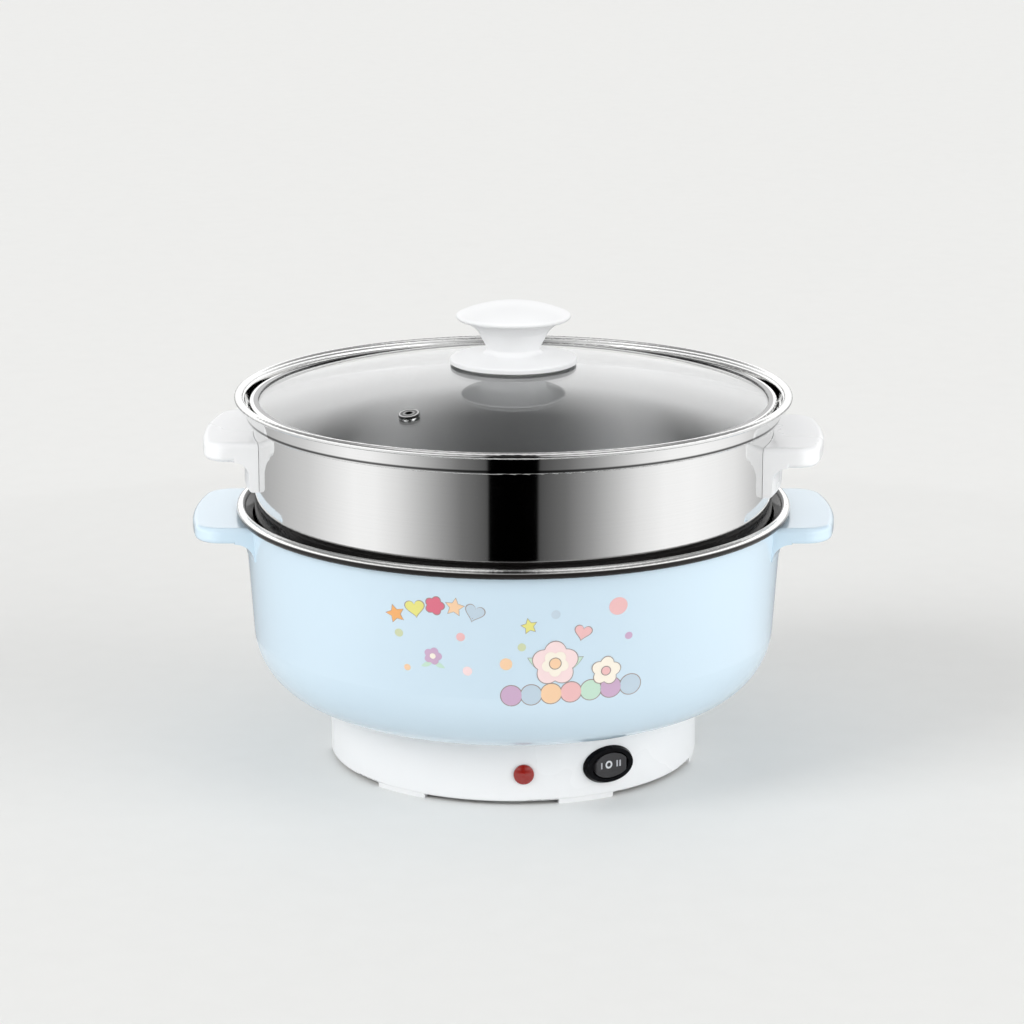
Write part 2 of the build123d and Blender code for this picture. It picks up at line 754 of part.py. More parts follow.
def make_switch_rocker():
    """Oval rocker with two raised wings and pivot pins above and below."""
    face = face_plane(switch_azimuth, switch_height)
    half_width = rocker_size[0] / 2
    half_height = rocker_size[1] / 2
    bottom = -rocker_pivot_depth - rocker_depth
    crown = ThreePointArc(
        (-half_width, rocker_wing_height), (0, rocker_middle_height), (half_width, rocker_wing_height))
    profile = make_face([
        crown,
        Line((half_width, rocker_wing_height), (half_width, bottom)),
        Line((half_width, bottom), (-half_width, bottom)),
        Line((-half_width, bottom), (-half_width, rocker_wing_height)),
    ])
    profile &= Pos(0, -rocker_pivot_depth) * Circle(half_width)
    profile &= Pos(0, -rocker_pivot_depth + half_width - rocker_depth) * Circle(half_width * 1.2)
    body = extrude(Plane.XZ * profile, half_height, both=True)
    oval = Pos(0, 0, bottom) * extrude(
        Ellipse(half_width, half_height), rocker_wing_height + 2 * rocker_depth)
    pins = Pos(0, 0, -rocker_pivot_depth) * Rot(90, 0, 0) * Cylinder(
        rocker_pin_radius, rocker_size[1] + 2 * rocker_pin_length)
    return face.location * ((body & oval) + pins)


def make_switch_terminals():
    """Three blades at the back of the switch."""
    face = face_plane(switch_azimuth, switch_height)
    blade = Pos(0, 0, -switch_body_depth - blade_length / 2) * Box(
        blade_thickness, blade_width, blade_length - seat_gap)
    return gather([face.location * Pos(step * switch_blade_pitch, 0, 0) * blade for step in (-1, 0, 1)])


# ---------------------------------------------------------------- indicator
def make_indicator_lens():
    """Red lens: domed head outside, hollow barrel through the wall."""
    face = face_plane(indicator_azimuth, indicator_height)
    sphere = (indicator_radius ** 2 + indicator_dome_height ** 2) / (2 * indicator_dome_height)
    head_height = indicator_flange_height + indicator_dome_height
    dome = Pos(0, head_height - sphere) * Circle(sphere)
    head = dome & (Pos(indicator_radius / 2, head_height / 2) * Rectangle(indicator_radius, head_height))
    outer_wall = Pos(indicator_body_radius / 2, (indicator_flange_height - indicator_body_length) / 2)
    barrel = outer_wall * Rectangle(indicator_body_radius, indicator_flange_height + indicator_body_length)
    bore_radius = indicator_body_radius - indicator_wall
    bore_length = indicator_body_length - indicator_wall
    bore = Pos(bore_radius / 2, bore_length / 2 - indicator_body_length) * Rectangle(
        bore_radius, bore_length)
    return face.location * spin(head + barrel - bore)


def make_indicator_clip():
    """Push-on ring that holds the lens behind the wall."""
    face = face_plane(indicator_azimuth, indicator_height)
    bottom = -base_wall - 2 * indicator_clip_thickness
    return face.location * ring(
        indicator_clip_radius, indicator_body_radius + seat_gap / 2, bottom, indicator_clip_thickness)


def make_indicator_lamp():
    """Small glow lamp inside the barrel."""
    face = face_plane(indicator_azimuth, indicator_height)
    outline = rounded_polygon(
        [(-lamp_radius, -lamp_length), (lamp_radius, -lamp_length), (lamp_radius, 0), (-lamp_radius, 0)],
        lamp_radius * 0.9,
    )
    half = outline & (Pos(lamp_radius / 2, -lamp_length / 2) * Rectangle(lamp_radius, lamp_length * 2))
    return face.location * Pos(0, 0, -indicator_wall - lamp_gap) * spin(half)


# ---------------------------------------------------------------- power inlet
def make_power_inlet():
    """Insulating body of the inlet: bezel, snap-in body and a keyed recess."""
    face = face_plane(180, inlet_height)
    bezel = extrude(face * RectangleRounded(*inlet_bezel_size, inlet_corner), inlet_bezel_height)
    skirt = extrude(face * RectangleRounded(*inlet_bezel_size, inlet_corner), -base_wall)
    body = extrude(face * RectangleRounded(*inlet_body_size, inlet_corner), -inlet_body_depth)
    width, height = inlet_recess_size
    key = height / 4
    recess_outline = polygon(
        (-width / 2, -height / 2), (width / 2, -height / 2), (width / 2, height / 2 - key),
        (width / 2 - key, height / 2), (-width / 2 + key, height / 2), (-width / 2, height / 2 - key),
    )
    recess_floor = face.offset(inlet_bezel_height - inlet_recess_depth)
    recess = extrude(recess_floor * recess_outline, inlet_recess_depth * 2)
    inlet = bezel + (skirt - base_side_space()) + body - recess
    slots = [
        face.location * Pos(x, y, -inlet_recess_depth) * Box(
            inlet_pin_size[0] + seat_gap, inlet_pin_size[1] + seat_gap, inlet_recess_depth)
        for x, y in inlet_pin_places()
    ]
    return inlet - slots


def inlet_pin_places():
    """Places of the three pins on the inlet's face: live, neutral, earth."""
    side = inlet_pin_spacing / 2
    return [(-side, -inlet_earth_offset / 2), (side, -inlet_earth_offset / 2), (0, inlet_earth_offset / 2)]


def make_inlet_pins():
    """Three pins, each one piece with its blade at the back."""
    face = face_plane(180, inlet_height)
    recess_floor = inlet_bezel_height - inlet_recess_depth
    root = recess_floor - inlet_pin_root
    back = -inlet_body_depth - blade_length
    upright = (Align.CENTER, Align.CENTER, Align.MIN)
    pins = []
    for x, y in inlet_pin_places():
        pin = Pos(x, y, root) * Box(*inlet_pin_size, inlet_pin_root + inlet_pin_length, align=upright)
        tail = Pos(x, y, back) * Box(blade_thickness, inlet_pin_size[1], recess_floor - back, align=upright)
        pins.append(face.location * (pin + tail))
    return gather(pins)


# ---------------------------------------------------------------- leads
def lead(points, bend):
    """Insulated wire along straight runs with round bends."""
    path = FilletPolyline(*points, radius=bend)
    start = Plane(origin=path @ 0, z_dir=path % 0)
    return sweep(start * Circle(lead_radius), path)


def inlet_back_points():
    """Points just behind the inlet's blades: live, neutral, earth."""
    depth = inlet_body_depth + blade_length + lead_lug_gap
    place = face_plane(180, inlet_height).location
    return [tuple((place * Pos(x, y, -depth)).position) for x, y in inlet_pin_places()]


def switch_back_points():
    """Points just behind the switch's blades: low, common, high."""
    depth = switch_body_depth + blade_length + lead_lug_gap
    place = face_plane(switch_azimuth, switch_height).location
    return [tuple((place * Pos(step * switch_blade_pitch, 0, -depth)).position) for step in (-1, 0, 1)]


def inward(point, azimuth, distance):
    """Point moved away from the side of the base, towards the axis."""
    step = polar_point(distance, azimuth, 0)
    return (point[0] - step[0], point[1] - step[1], point[2])


def shifted(point, dx=0.0, dy=0.0):
    """Point moved on its own level."""
    return (point[0] + dx, point[1] + dy, point[2])


def make_wiring():
    """Thermal fuse and the leads between inlet, fuse, thermostat, switch, coils and earth stud, by name."""
    level = terminal_pin_bottom_z - lead_drop
    live, neutral, earth = inlet_back_points()
    low, common, high = switch_back_points()
    pin_end_z = terminal_pin_bottom_z - lead_lug_gap
    inner_front, inner_rear, outer_front, outer_rear = [(x, y, pin_end_z) for x, y in terminal_points()]
    under_inner_front, under_inner_rear, under_outer_front = [
        (x, y, level) for x, y, _ in (inner_front, inner_rear, outer_front)
    ]

    # The fuse lies behind the pot's axis, in line with the live pin.
    fuse_middle = (live[0], fuse_offset, level)
    half_run = fuse_length / 2 + lead_lug_gap
    fuse_rear = shifted(fuse_middle, dy=half_run)
    fuse_front = shifted(fuse_middle, dy=-half_run)

    # The fuse feeds one blade of the thermostat; the other blade feeds the switch.
    blade_end_z = thermostat_bottom_z - thermostat_blade_length - lead_lug_gap
    right_blade = (thermostat_radius / 2, 0, blade_end_z)
    left_blade = (-thermostat_radius / 2, 0, blade_end_z)
    under_right_blade, under_left_blade = [(x, y, level) for x, y, _ in (right_blade, left_blade)]

    # The link joins the rear pins of the two coils, higher than the other leads.
    pin_side = terminal_pin_radius + lead_lug_gap
    link_start = (inner_rear[0] + pin_side, inner_rear[1], pin_end_z + terminal_pin_length / 3)
    link_end = (outer_rear[0] - pin_side, outer_rear[1], link_start[2])
    stud_x, stud_y, _ = polar_point(stud_circle_radius, 90 + stud_offset, 0)
    stud_end = (stud_x, stud_y, stud_bottom_z - lead_lug_gap)
    under_stud = (stud_x, stud_y, level)

    routes = {
        "lead_inlet_fuse": [[live, shifted(live, dy=-lead_straight), fuse_rear]],
        "lead_fuse_switch": [
            [fuse_front, under_right_blade, right_blade],
            [left_blade, under_left_blade, shifted(under_left_blade, dy=-thermostat_lead_run),
             inward(common, switch_azimuth, lead_straight), common],
        ],
        "lead_low_heat": [
            [low, inward(low, switch_azimuth, lead_straight),
             shifted(under_inner_front, dy=-lead_approach), under_inner_front, inner_front],
        ],
        "lead_high_heat": [
            [high, inward(high, switch_azimuth, lead_straight),
             shifted(under_outer_front, dy=-lead_approach), under_outer_front, outer_front],
        ],
        "lead_neutral": [
            [neutral, shifted(neutral, dy=-lead_straight), shifted(under_inner_rear, dy=lead_approach),
             under_inner_rear, inner_rear],
        ],
        "lead_link": [
            [link_start, shifted(link_start, dx=link_run, dy=link_side),
             shifted(link_end, dx=-link_run, dy=link_side), link_end],
        ],
        "lead_earth": [
            [earth, shifted(earth, dy=-lead_straight), shifted(under_stud, dy=2 * lead_bend),
             under_stud, stud_end],
        ],
    }
    wiring = {name: gather([lead(points, lead_bend) for points in runs]) for name, runs in routes.items()}
    fuse_start = Plane(origin=shifted(fuse_middle, dy=-fuse_length / 2), z_dir=(0, 1, 0))
    wiring["thermal_fuse"] = extrude(fuse_start * Circle(fuse_radius), fuse_length)
    return wiring


# ---------------------------------------------------------------- steamer
def make_steamer_pan():
    """Deep-drawn basket: perforated floor, nest, shoulder, straight wall, collar and rolled bead."""
    nest_top_radius = bowl_radius(steamer_seat_z, pot_inner_inset) - nest_clearance
    nest_foot_radius = bowl_radius(nest_bottom_z, pot_inner_inset) - nest_clearance
    path = FilletPolyline(
        (0, nest_bottom_z),
        (nest_foot_radius, nest_bottom_z),
        (nest_top_radius, steamer_seat_z),
        (steamer_radius, steamer_seat_z),
        (steamer_radius, collar_z),
        (collar_radius, collar_z),
        (collar_radius + collar_flare, steamer_rim_z - steamer_bead_height / 4),
        (steamer_bead_centre_radius, steamer_rim_z),
        radius=[
            nest_rounding, ledge_rounding, shoulder_rounding,
            collar_rounding, collar_rounding, collar_rounding / 2,
        ],
    )
    section = strip(path, steamer_wall)
    bead = Pos(steamer_bead_centre_radius, steamer_rim_z) * Ellipse(
        steamer_bead_width / 2, steamer_bead_height / 2)
    pan = spin(section + bead)
    hole = Pos(0, 0, nest_bottom_z) * Cylinder(steam_hole_radius, steamer_wall * 6)
    holes = [hole]
    for step in range(1, steam_hole_rings + 1):
        holes += [place * hole for place in around(steam_holes_per_ring * step, steam_hole_pitch * step)]
    screw_holes = [
        place * Cylinder(handle_screw_radius + slip_gap, steamer_wall * 12)
        for place in handle_screw_places(steamer_radius)
    ]
    return pan - holes - screw_holes


def handle_screw_places(radius):
    """Frames of the handle screws: origin on the wall, Z pointing outwards."""
    height = steamer_handle_top_z - steamer_handle_thickness / 2
    places = []
    for turn in (0, 180):
        for side in (-1, 1):
            angle = side * math.degrees(math.asin(handle_screw_spread / 2 / radius))
            frame = Plane(origin=(radius, 0, height), x_dir=(0, 1, 0), z_dir=(1, 0, 0))
            places.append(Rot(0, 0, turn + angle) * frame.location)
    return places


def make_steamer_handles():
    """Right and left handle: a thick rounded slab with a leg that hugs the wall."""
    inner = steamer_radius + seat_gap
    slab_bottom = steamer_handle_top_z - steamer_handle_thickness
    leg_bottom = steamer_handle_top_z - steamer_handle_leg
    leg_radius = inner + steamer_handle_leg_thickness
    plan = handle_plan(inner, steamer_handle_reach, steamer_handle_width, steamer_handle_corner)
    slab = handle_slab(plan, inner, slab_bottom, steamer_handle_thickness, steamer_handle_edge)
    leg = rounded_polygon(
        [
            (inner - steamer_handle_leg_thickness, leg_bottom),
            (leg_radius, leg_bottom),
            (leg_radius, steamer_handle_top_z - steamer_handle_edge),
            (inner - steamer_handle_leg_thickness, steamer_handle_top_z - steamer_handle_edge),
        ],
        steamer_handle_leg_edge,
    )
    web = handle_web(inner, leg_radius, slab_bottom, steamer_handle_web, steamer_handle_edge)
    support = spin(leg + web, handle_sweep(steamer_handle_width, inner))
    support &= extrude(plan, steamer_rim_z)
    pilot = Pos(0, 0, -handle_screw_length) * extrude(
        Circle(handle_screw_radius + seat_gap / 2), 2 * handle_screw_length + handle_screw_tip_gap)
    right = slab + support - [place * pilot for place in handle_screw_places(steamer_radius)[:2]]
    return right, Rot(0, 0, 180) * right


def make_handle_screws():
    """Pan-head screws from inside the basket into the handles."""
    head_seat = -steamer_wall - handle_screw_head_gap
    shank = Pos(0, 0, head_seat) * extrude(Circle(handle_screw_radius), handle_screw_length - head_seat)
    head = Pos(0, 0, head_seat - handle_screw_head_height) * extrude(
        Circle(handle_screw_head_radius), handle_screw_head_height, taper=-handle_screw_head_taper)
    return gather([place * (shank + head) for place in handle_screw_places(steamer_radius)])


# ---------------------------------------------------------------- lid
def dome_z(radius, offset_up=0.0):
    """Height of the dome, or of a surface parallel to it, at a distance from the axis."""
    return dome_centre_z + math.sqrt((dome_radius + offset_up) ** 2 - radius ** 2)


def dome_arc(inner_radius, outer_radius, offset_up=0.0):
    """Arc on the dome, or parallel to it, between two distances from the axis."""
    middle = (inner_radius + outer_radius) / 2
    return ThreePointArc(
        (inner_radius, dome_z(inner_radius, offset_up)),
        (middle, dome_z(middle, offset_up)),
        (outer_radius, dome_z(outer_radius, offset_up)),
    )


def dome_layer(inner_radius, outer_radius, bottom_offset, top_offset):
    """Section of a layer that lies on the dome."""
    bottom = dome_arc(inner_radius, outer_radius, bottom_offset)
    top = dome_arc(inner_radius, outer_radius, top_offset)
    return make_face([bottom, top, Line(bottom @ 0, top @ 0), Line(bottom @ 1, top @ 1)])


def vent_location():
    """Frame of the steam vent: origin on the dome, Z square to the glass."""
    x, y, z = polar_point(vent_distance, vent_azimuth, dome_z(vent_distance))
    return Plane(origin=(x, y, z), z_dir=(x, y, z - dome_centre_z)).location


def make_lid_glass():
    """Tempered dome with a hole for the knob's screw and one for the vent."""
    glass = spin(dome_layer(press_gap, glass_radius, -glass_thickness, 0))
    hole_bottom = dome_top_z - 2 * glass_thickness
    screw_hole = disc(knob_screw_radius + screw_hole_margin, hole_bottom, 4 * glass_thickness)
    vent_hole = vent_location() * Cylinder(vent_hole_radius + slip_gap, glass_thickness * 4)
    return glass - screw_hole - vent_hole


def make_lid_rim_band():
    """Steel band crimped around the edge of the glass."""
    lip_radius = lid_band_inner_radius + lid_band_lip
    lip_z = dome_z(lip_radius + lid_band_wall, -glass_thickness) - seat_gap
    path = FilletPolyline(
        (lid_band_inner_radius, lid_band_top_z),
        (lid_band_radius, lid_band_top_z),
        (lid_band_radius, lid_seat_z),
        (lip_radius, lid_seat_z),
        (lip_radius, lip_z),
        radius=lid_band_rounding,
    )
    return spin(strip(path, lid_band_wall, Side.RIGHT))


def make_lid_vent():
    """Steel eyelet through the glass."""
    stem_bottom = -glass_thickness - vent_flange_height
    stem = ring(vent_hole_radius, vent_bore_radius, stem_bottom, glass_thickness + 2 * vent_flange_height)
    top = ring(vent_flange_radius, vent_bore_radius, seat_gap, vent_flange_height)
    bottom = ring(
        vent_flange_radius, vent_bore_radius, stem_bottom - seat_gap, vent_flange_height)
    return vent_location() * (stem + top + bottom)


def make_lid_knob():
    """Spool-shaped knob: thin flange on the glass, narrow stem and a wide domed crown."""
    base_z = dome_top_z + gasket_thickness
    edge_z = dome_z(knob_flange_radius, gasket_thickness)
    flange_top = edge_z + knob_flange_height
    underside = dome_arc(0, knob_flange_radius, gasket_thickness + seat_gap / 2)
    flange_edge = Line(underside @ 1, (knob_flange_radius, flange_top - knob_edge_rounding))
    flange_corner = RadiusArc(
        flange_edge @ 1, (knob_flange_radius - knob_edge_rounding, flange_top), -knob_edge_rounding)
    stem_foot = (knob_stem_radius + knob_foot_width, flange_top + knob_flange_rise)
    flange_slope = Line(flange_corner @ 1, stem_foot)
    stem_point = (knob_stem_radius, base_z + knob_stem_height)
    foot_middle = (knob_stem_radius + 0.27 * knob_foot_width, stem_foot[1] + 0.3 * knob_foot_width)
    foot_curve = ThreePointArc(stem_foot, foot_middle, stem_point)
    neck_point = (knob_neck_radius, base_z + knob_neck_height)
    stem_side = Line(stem_point, neck_point)
    tip_z = base_z + knob_tip_height
    tip_bottom = (knob_crown_radius - knob_tip_rounding, tip_z - knob_tip_rounding)
    tip_top = (knob_crown_radius - knob_tip_rounding / 2, tip_z + knob_tip_rounding)
    throat_middle = (
        knob_neck_radius + knob_throat_width, (neck_point[1] + tip_bottom[1] + knob_tip_rounding) / 2)
    under_crown = ThreePointArc(neck_point, throat_middle, tip_bottom)
    tip_curve = ThreePointArc(tip_bottom, (knob_crown_radius, tip_z), tip_top)
    crown_top = (0, tip_top[1] + knob_crown_rise)
    crown_sphere = (tip_top[0] ** 2 + knob_crown_rise ** 2) / (2 * knob_crown_rise)
    half_radius = tip_top[0] / 2
    half_z = crown_top[1] - crown_sphere + math.sqrt(crown_sphere ** 2 - half_radius ** 2)
    crown_arc = ThreePointArc(tip_top, (half_radius, half_z), crown_top)
    axis_line = Line(crown_top, underside @ 0)
    section = make_face([
        underside, flange_edge, flange_corner, flange_slope, foot_curve, stem_side,
        under_crown, tip_curve, crown_arc, axis_line,
    ])
    insert_space = disc(knob_insert_radius, dome_top_z, gasket_thickness + knob_insert_length + slip_gap)
    gasket_space = spin(dome_layer(
        knob_insert_radius, gasket_radius + slip_gap, 0, gasket_thickness + 2 * seat_gap + slip_gap / 2))
    return spin(section) - insert_space - gasket_space


def make_knob_gasket():
    """Soft ring between the knob and the glass."""
    return spin(dome_layer(
        knob_insert_radius + 2 * slip_gap, gasket_radius, seat_gap / 2, gasket_thickness + 2 * seat_gap))


def make_knob_insert():
    """Threaded brass insert moulded into the knob."""
    bottom = dome_top_z + gasket_thickness
    return ring(
        knob_insert_radius - press_gap, knob_screw_radius + press_gap, bottom, knob_insert_length)


def make_knob_washers():
    """Soft washer and steel washer under the glass."""
    top = dome_top_z - glass_thickness - seat_gap
    hole = knob_screw_radius + slip_gap
    soft = ring(washer_radius, hole, top - washer_thickness, washer_thickness)
    steel = ring(washer_radius - washer_step, hole, top - 2 * washer_thickness, washer_thickness)
    return soft, steel


def make_knob_screw():
    """Screw from under the lid into the knob's insert."""
    head_top = dome_top_z - glass_thickness - seat_gap - 2 * washer_thickness
    shank = disc(knob_screw_radius, head_top, knob_screw_length)
    head = disc(knob_screw_head_radius, head_top - knob_screw_head_height, knob_screw_head_height)
    slot_length = 1.3 * knob_screw_head_radius
    cross = Box(knob_slot_width, slot_length, knob_screw_head_height) + Box(
        slot_length, knob_slot_width, knob_screw_head_height)
    return shank + head - Pos(0, 0, head_top - knob_screw_head_height) * cross


# ---------------------------------------------------------------- assembly
def build_nodes():
    """All sub-parts by name."""
    nodes = {
        "outer_shell": make_outer_shell(),
        "inner_pot": make_inner_pot(),
        "pot_studs": make_pot_studs(),
        "heater_plate": make_heater_plate(),
        "element_terminals": make_element_terminals(),
        "thermostat": make_thermostat(),
        "thermostat_strap": make_thermostat_strap(),
        "heat_shield": make_heat_shield(),
        "base_nuts": make_base_nuts(),
        "base_housing": make_base_housing(),
        "bottom_cover": make_bottom_cover(),
        "cover_screws": make_cover_screws(),
        "switch_frame": make_switch_frame(),
        "switch_rocker": make_switch_rocker(),
        "switch_terminals": make_switch_terminals(),
        "indicator_lens": make_indicator_lens(),
        "indicator_clip": make_indicator_clip(),
        "indicator_lamp": make_indicator_lamp(),
        "power_inlet": make_power_inlet(),
        "inlet_pins": make_inlet_pins(),
    }
    nodes.update(make_wiring())
    right_handle, left_handle = make_steamer_handles()
    soft_washer, steel_washer = make_knob_washers()
    turned = {
        "steamer_pan": make_steamer_pan(),
        "steamer_handle_right": right_handle,
        "steamer_handle_left": left_handle,
        "steamer_handle_screws": make_handle_screws(),
    }
    for name, shape in turned.items():
        nodes[name] = gather([Rot(0, 0, steamer_turn) * solid for solid in shape.solids()])
    nodes.update({
        "lid_glass": make_lid_glass(),
        "lid_rim_band": make_lid_rim_band(),
        "lid_vent_eyelet": make_lid_vent(),
        "lid_knob": make_lid_knob(),
        "lid_knob_gasket": make_knob_gasket(),
        "lid_knob_insert": make_knob_insert(),
        "lid_soft_washer": soft_washer,
        "lid_steel_washer": steel_washer,
        "lid_knob_screw": make_knob_screw(),
    })
    return nodes


os.makedirs("parts", exist_ok=True)
for node_name, node_shape in build_nodes().items():
    export_step(node_shape, f"parts/{node_name}.step")
    print(node_name, round(node_shape.volume, 1))
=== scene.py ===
# %% [markdown]
# # An electric hot pot with a steel steamer basket and a glass lid
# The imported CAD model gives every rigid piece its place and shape, so this lesson is about looks:
# plastics, polished steel, glass, a black non-stick pot, a printed decoration and a soft studio.
# We load the frame first and note its box, because nothing made here may grow out of it.

import math

import bmesh
import bpy
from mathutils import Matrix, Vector
from mathutils.bvhtree import BVHTree


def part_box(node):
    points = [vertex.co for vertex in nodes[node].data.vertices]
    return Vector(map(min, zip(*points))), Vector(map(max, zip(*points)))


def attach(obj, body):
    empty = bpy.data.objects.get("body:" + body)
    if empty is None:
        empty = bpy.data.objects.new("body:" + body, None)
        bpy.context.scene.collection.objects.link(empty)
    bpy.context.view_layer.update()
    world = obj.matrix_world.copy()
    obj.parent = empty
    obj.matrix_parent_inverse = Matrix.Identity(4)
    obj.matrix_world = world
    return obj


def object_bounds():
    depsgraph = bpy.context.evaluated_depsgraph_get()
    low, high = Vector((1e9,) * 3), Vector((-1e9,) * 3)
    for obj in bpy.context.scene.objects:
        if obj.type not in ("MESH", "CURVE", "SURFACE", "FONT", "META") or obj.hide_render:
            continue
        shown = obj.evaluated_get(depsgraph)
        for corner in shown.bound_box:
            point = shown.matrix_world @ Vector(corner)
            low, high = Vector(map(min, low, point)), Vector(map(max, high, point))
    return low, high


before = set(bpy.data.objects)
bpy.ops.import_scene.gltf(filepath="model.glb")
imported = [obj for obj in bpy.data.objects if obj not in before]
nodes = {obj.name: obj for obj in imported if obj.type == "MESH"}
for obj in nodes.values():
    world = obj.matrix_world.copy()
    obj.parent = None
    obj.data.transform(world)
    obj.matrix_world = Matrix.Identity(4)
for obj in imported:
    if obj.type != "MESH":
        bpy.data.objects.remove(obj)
cad_low, cad_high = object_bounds()
print("nodes:", len(nodes), "box:", [round(v, 4) for v in cad_high - cad_low])

# %% [markdown]
# ## Key sizes
# Levels and radii are read from the boxes of the nodes, so the masks in the materials, the prints
# and the small spots stay on their pieces if the pot is made wider or taller. Blender works in
# metres. A maker thinks of such a pot in millimetres, so small sizes are written as so many MM.

# %% Read the key sizes
MM = 0.001
rim_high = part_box("inner_pot")[1]
pan_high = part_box("steamer_pan")[1]
rim_radius = rim_high.y
rim_top = rim_high.z
bead_height = 5.2 * MM
bead_width = 4.8 * MM
rim_level = rim_top - bead_height / 2
print("rim radius", round(rim_radius, 4), "rim level", round(rim_level, 4))

# %% [markdown]
# ## Camera
# A long lens far away keeps the ellipses of the rims flat, as in a catalogue. It looks a little
# down, at a level just under the pot's rim. The aim is nudged a millimetre or two for the
# framing, which is simpler than a lens shift and does the same.

# %% Place the camera
camera_distance = 1.750
camera_elevation = math.radians(14.3)
camera_lens = 121.3
sensor_width = 36.0
look_level = 127.1 * MM
aim_left = 0.7 * MM
aim_drop = 2.4 * MM
aim = Vector((-aim_left, 0.0, look_level - aim_drop))

camera_data = bpy.data.cameras.new("camera")
camera_data.lens = camera_lens
camera_data.sensor_width = sensor_width
camera = bpy.data.objects.new("camera", camera_data)
camera.location = (
    0.0,
    -camera_distance * math.cos(camera_elevation),
    look_level + camera_distance * math.sin(camera_elevation),
)
camera.rotation_euler = (aim - camera.location).to_track_quat("-Z", "Y").to_euler()
bpy.context.scene.collection.objects.link(camera)
bpy.context.scene.camera = camera
print("camera at", [round(v, 3) for v in camera.location], "lens", camera_lens)

# %% [markdown]
# ## A helper for materials
# Every material is one Principled shader. The helper sets constant values on the shader's own
# sockets and hands back the node tree, so that each finish can add the detail that varies.

# %% Make a material
def new_material(name, base_color, roughness, metallic=0.0, **sockets):
    """Material with one Principled shader; returns the material, its tree and the shader."""
    material = bpy.data.materials.new(name)
    material.use_nodes = True
    tree = material.node_tree
    shader = tree.nodes["Principled BSDF"]
    shader.inputs["Base Color"].default_value = (*base_color, 1.0)
    shader.inputs["Roughness"].default_value = roughness
    shader.inputs["Metallic"].default_value = metallic
    for socket, value in sockets.items():
        shader.inputs[socket.replace("_", " ")].default_value = value
    return material, tree, shader


def dress(material, *names):
    """Give a material to every slot of the named CAD nodes, and say so."""
    for name in names:
        for slot in nodes[name].material_slots:
            slot.material = material
    print(material.name, "on", ", ".join(names))


# %% [markdown]
# ## Shared effects as node groups
# Three effects come back in many materials. Moulded plastic has faint flow marks and a very fine
# grain. Turned and polished metal has hair lines that run around the axis. Cast and plated metal
# has speckle. Each is a group that puts out colours, values and heights that vary over the surface.

# %% Build the group tools
def new_group(name, inputs, outputs):
    """Empty shader group with named sockets; inputs are (name, type, default)."""
    group = bpy.data.node_groups.new(name, "ShaderNodeTree")
    for socket_name, kind, value in inputs:
        socket = group.interface.new_socket(socket_name, in_out="INPUT", socket_type=kind)
        socket.default_value = value
    for socket_name, kind in outputs:
        group.interface.new_socket(socket_name, in_out="OUTPUT", socket_type=kind)
    return group, group.nodes.new("NodeGroupInput"), group.nodes.new("NodeGroupOutput")


def math_node(tree, operation, first, second=None):
    """Math node whose operands are sockets or numbers; returns its output."""
    node = tree.nodes.new("ShaderNodeMath")
    node.operation = operation
    for socket, operand in zip(node.inputs, (first, second)):
        if operand is None:
            continue
        if isinstance(operand, (int, float)):
            socket.default_value = operand
        else:
            tree.links.new(operand, socket)
    return node.outputs[0]


def blend_colors(tree, factor, first, second):
    """Mix of two colours by a factor; each may be a socket or a constant."""
    node = tree.nodes.new("ShaderNodeMix")
    node.data_type = "RGBA"
    for index, value in ((0, factor), (6, first), (7, second)):
        socket = node.inputs[index]
        if isinstance(value, (tuple, list, float)):
            socket.default_value = value
        else:
            tree.links.new(value, socket)
    return node.outputs[2]


# %% Sockets and links that all surface groups share
COLOR = "NodeSocketColor"
VALUE = "NodeSocketFloat"
VECTOR = "NodeSocketVector"
white = (1.0, 1.0, 1.0, 1.0)
surface_inputs = [
    ("Place", VECTOR, (0, 0, 0)), ("Color", COLOR, white), ("Shade", COLOR, white),
    ("Roughness", VALUE, 0.2), ("Roughness Range", VALUE, 0.05)]
surface_outputs = [("Color", COLOR), ("Roughness", VALUE), ("Height", VALUE)]


def noise_node(tree, place, detail, scale):
    """Noise over a place; the scale is a socket or a number. Returns its grey output."""
    node = tree.nodes.new("ShaderNodeTexNoise")
    node.inputs["Detail"].default_value = detail
    tree.links.new(place, node.inputs["Vector"])
    if isinstance(scale, float):
        node.inputs["Scale"].default_value = scale
    else:
        tree.links.new(scale, node.inputs["Scale"])
    return node.outputs["Fac"]


def link_surface(group, given, result, drift, unevenness, height):
    """Drift the colour to its shade, let the roughness swing, and put out the height."""
    mixed = blend_colors(group, drift, given.outputs["Color"], given.outputs["Shade"])
    swing = math_node(group, "MULTIPLY", unevenness, given.outputs["Roughness Range"])
    roughness = math_node(group, "ADD", given.outputs["Roughness"], swing)
    for value, name in ((mixed, "Color"), (roughness, "Roughness"), (height, "Height")):
        group.links.new(value, result.inputs[name])


# %% [markdown]
# Moulded plastic: a broad noise shifts the colour by a hair, as pigment does in thick and thin
# places, and a fine noise gives the grain that keeps large highlights from looking computed.

# %% Group: moulded plastic
def build_moulding_group():
    group, given, result = new_group("Moulded Plastic", surface_inputs, surface_outputs)
    broad = noise_node(group, given.outputs["Place"], detail=3.0, scale=14.0)
    fine = noise_node(group, given.outputs["Place"], detail=2.0, scale=900.0)
    link_surface(group, given, result, broad, broad, fine)
    return group


moulding_group = build_moulding_group()
print("group:", moulding_group.name)

# %% [markdown]
# Polished metal: the sheet was spun while the wheel touched it, so its hair lines are circles
# around the axis. We feed a noise with the distance from the axis and the height only. Along a
# circle both stay the same, so the noise draws rings. The group puts out that radius and level
# too, for the masks that tell one part of a pressed sheet from another.

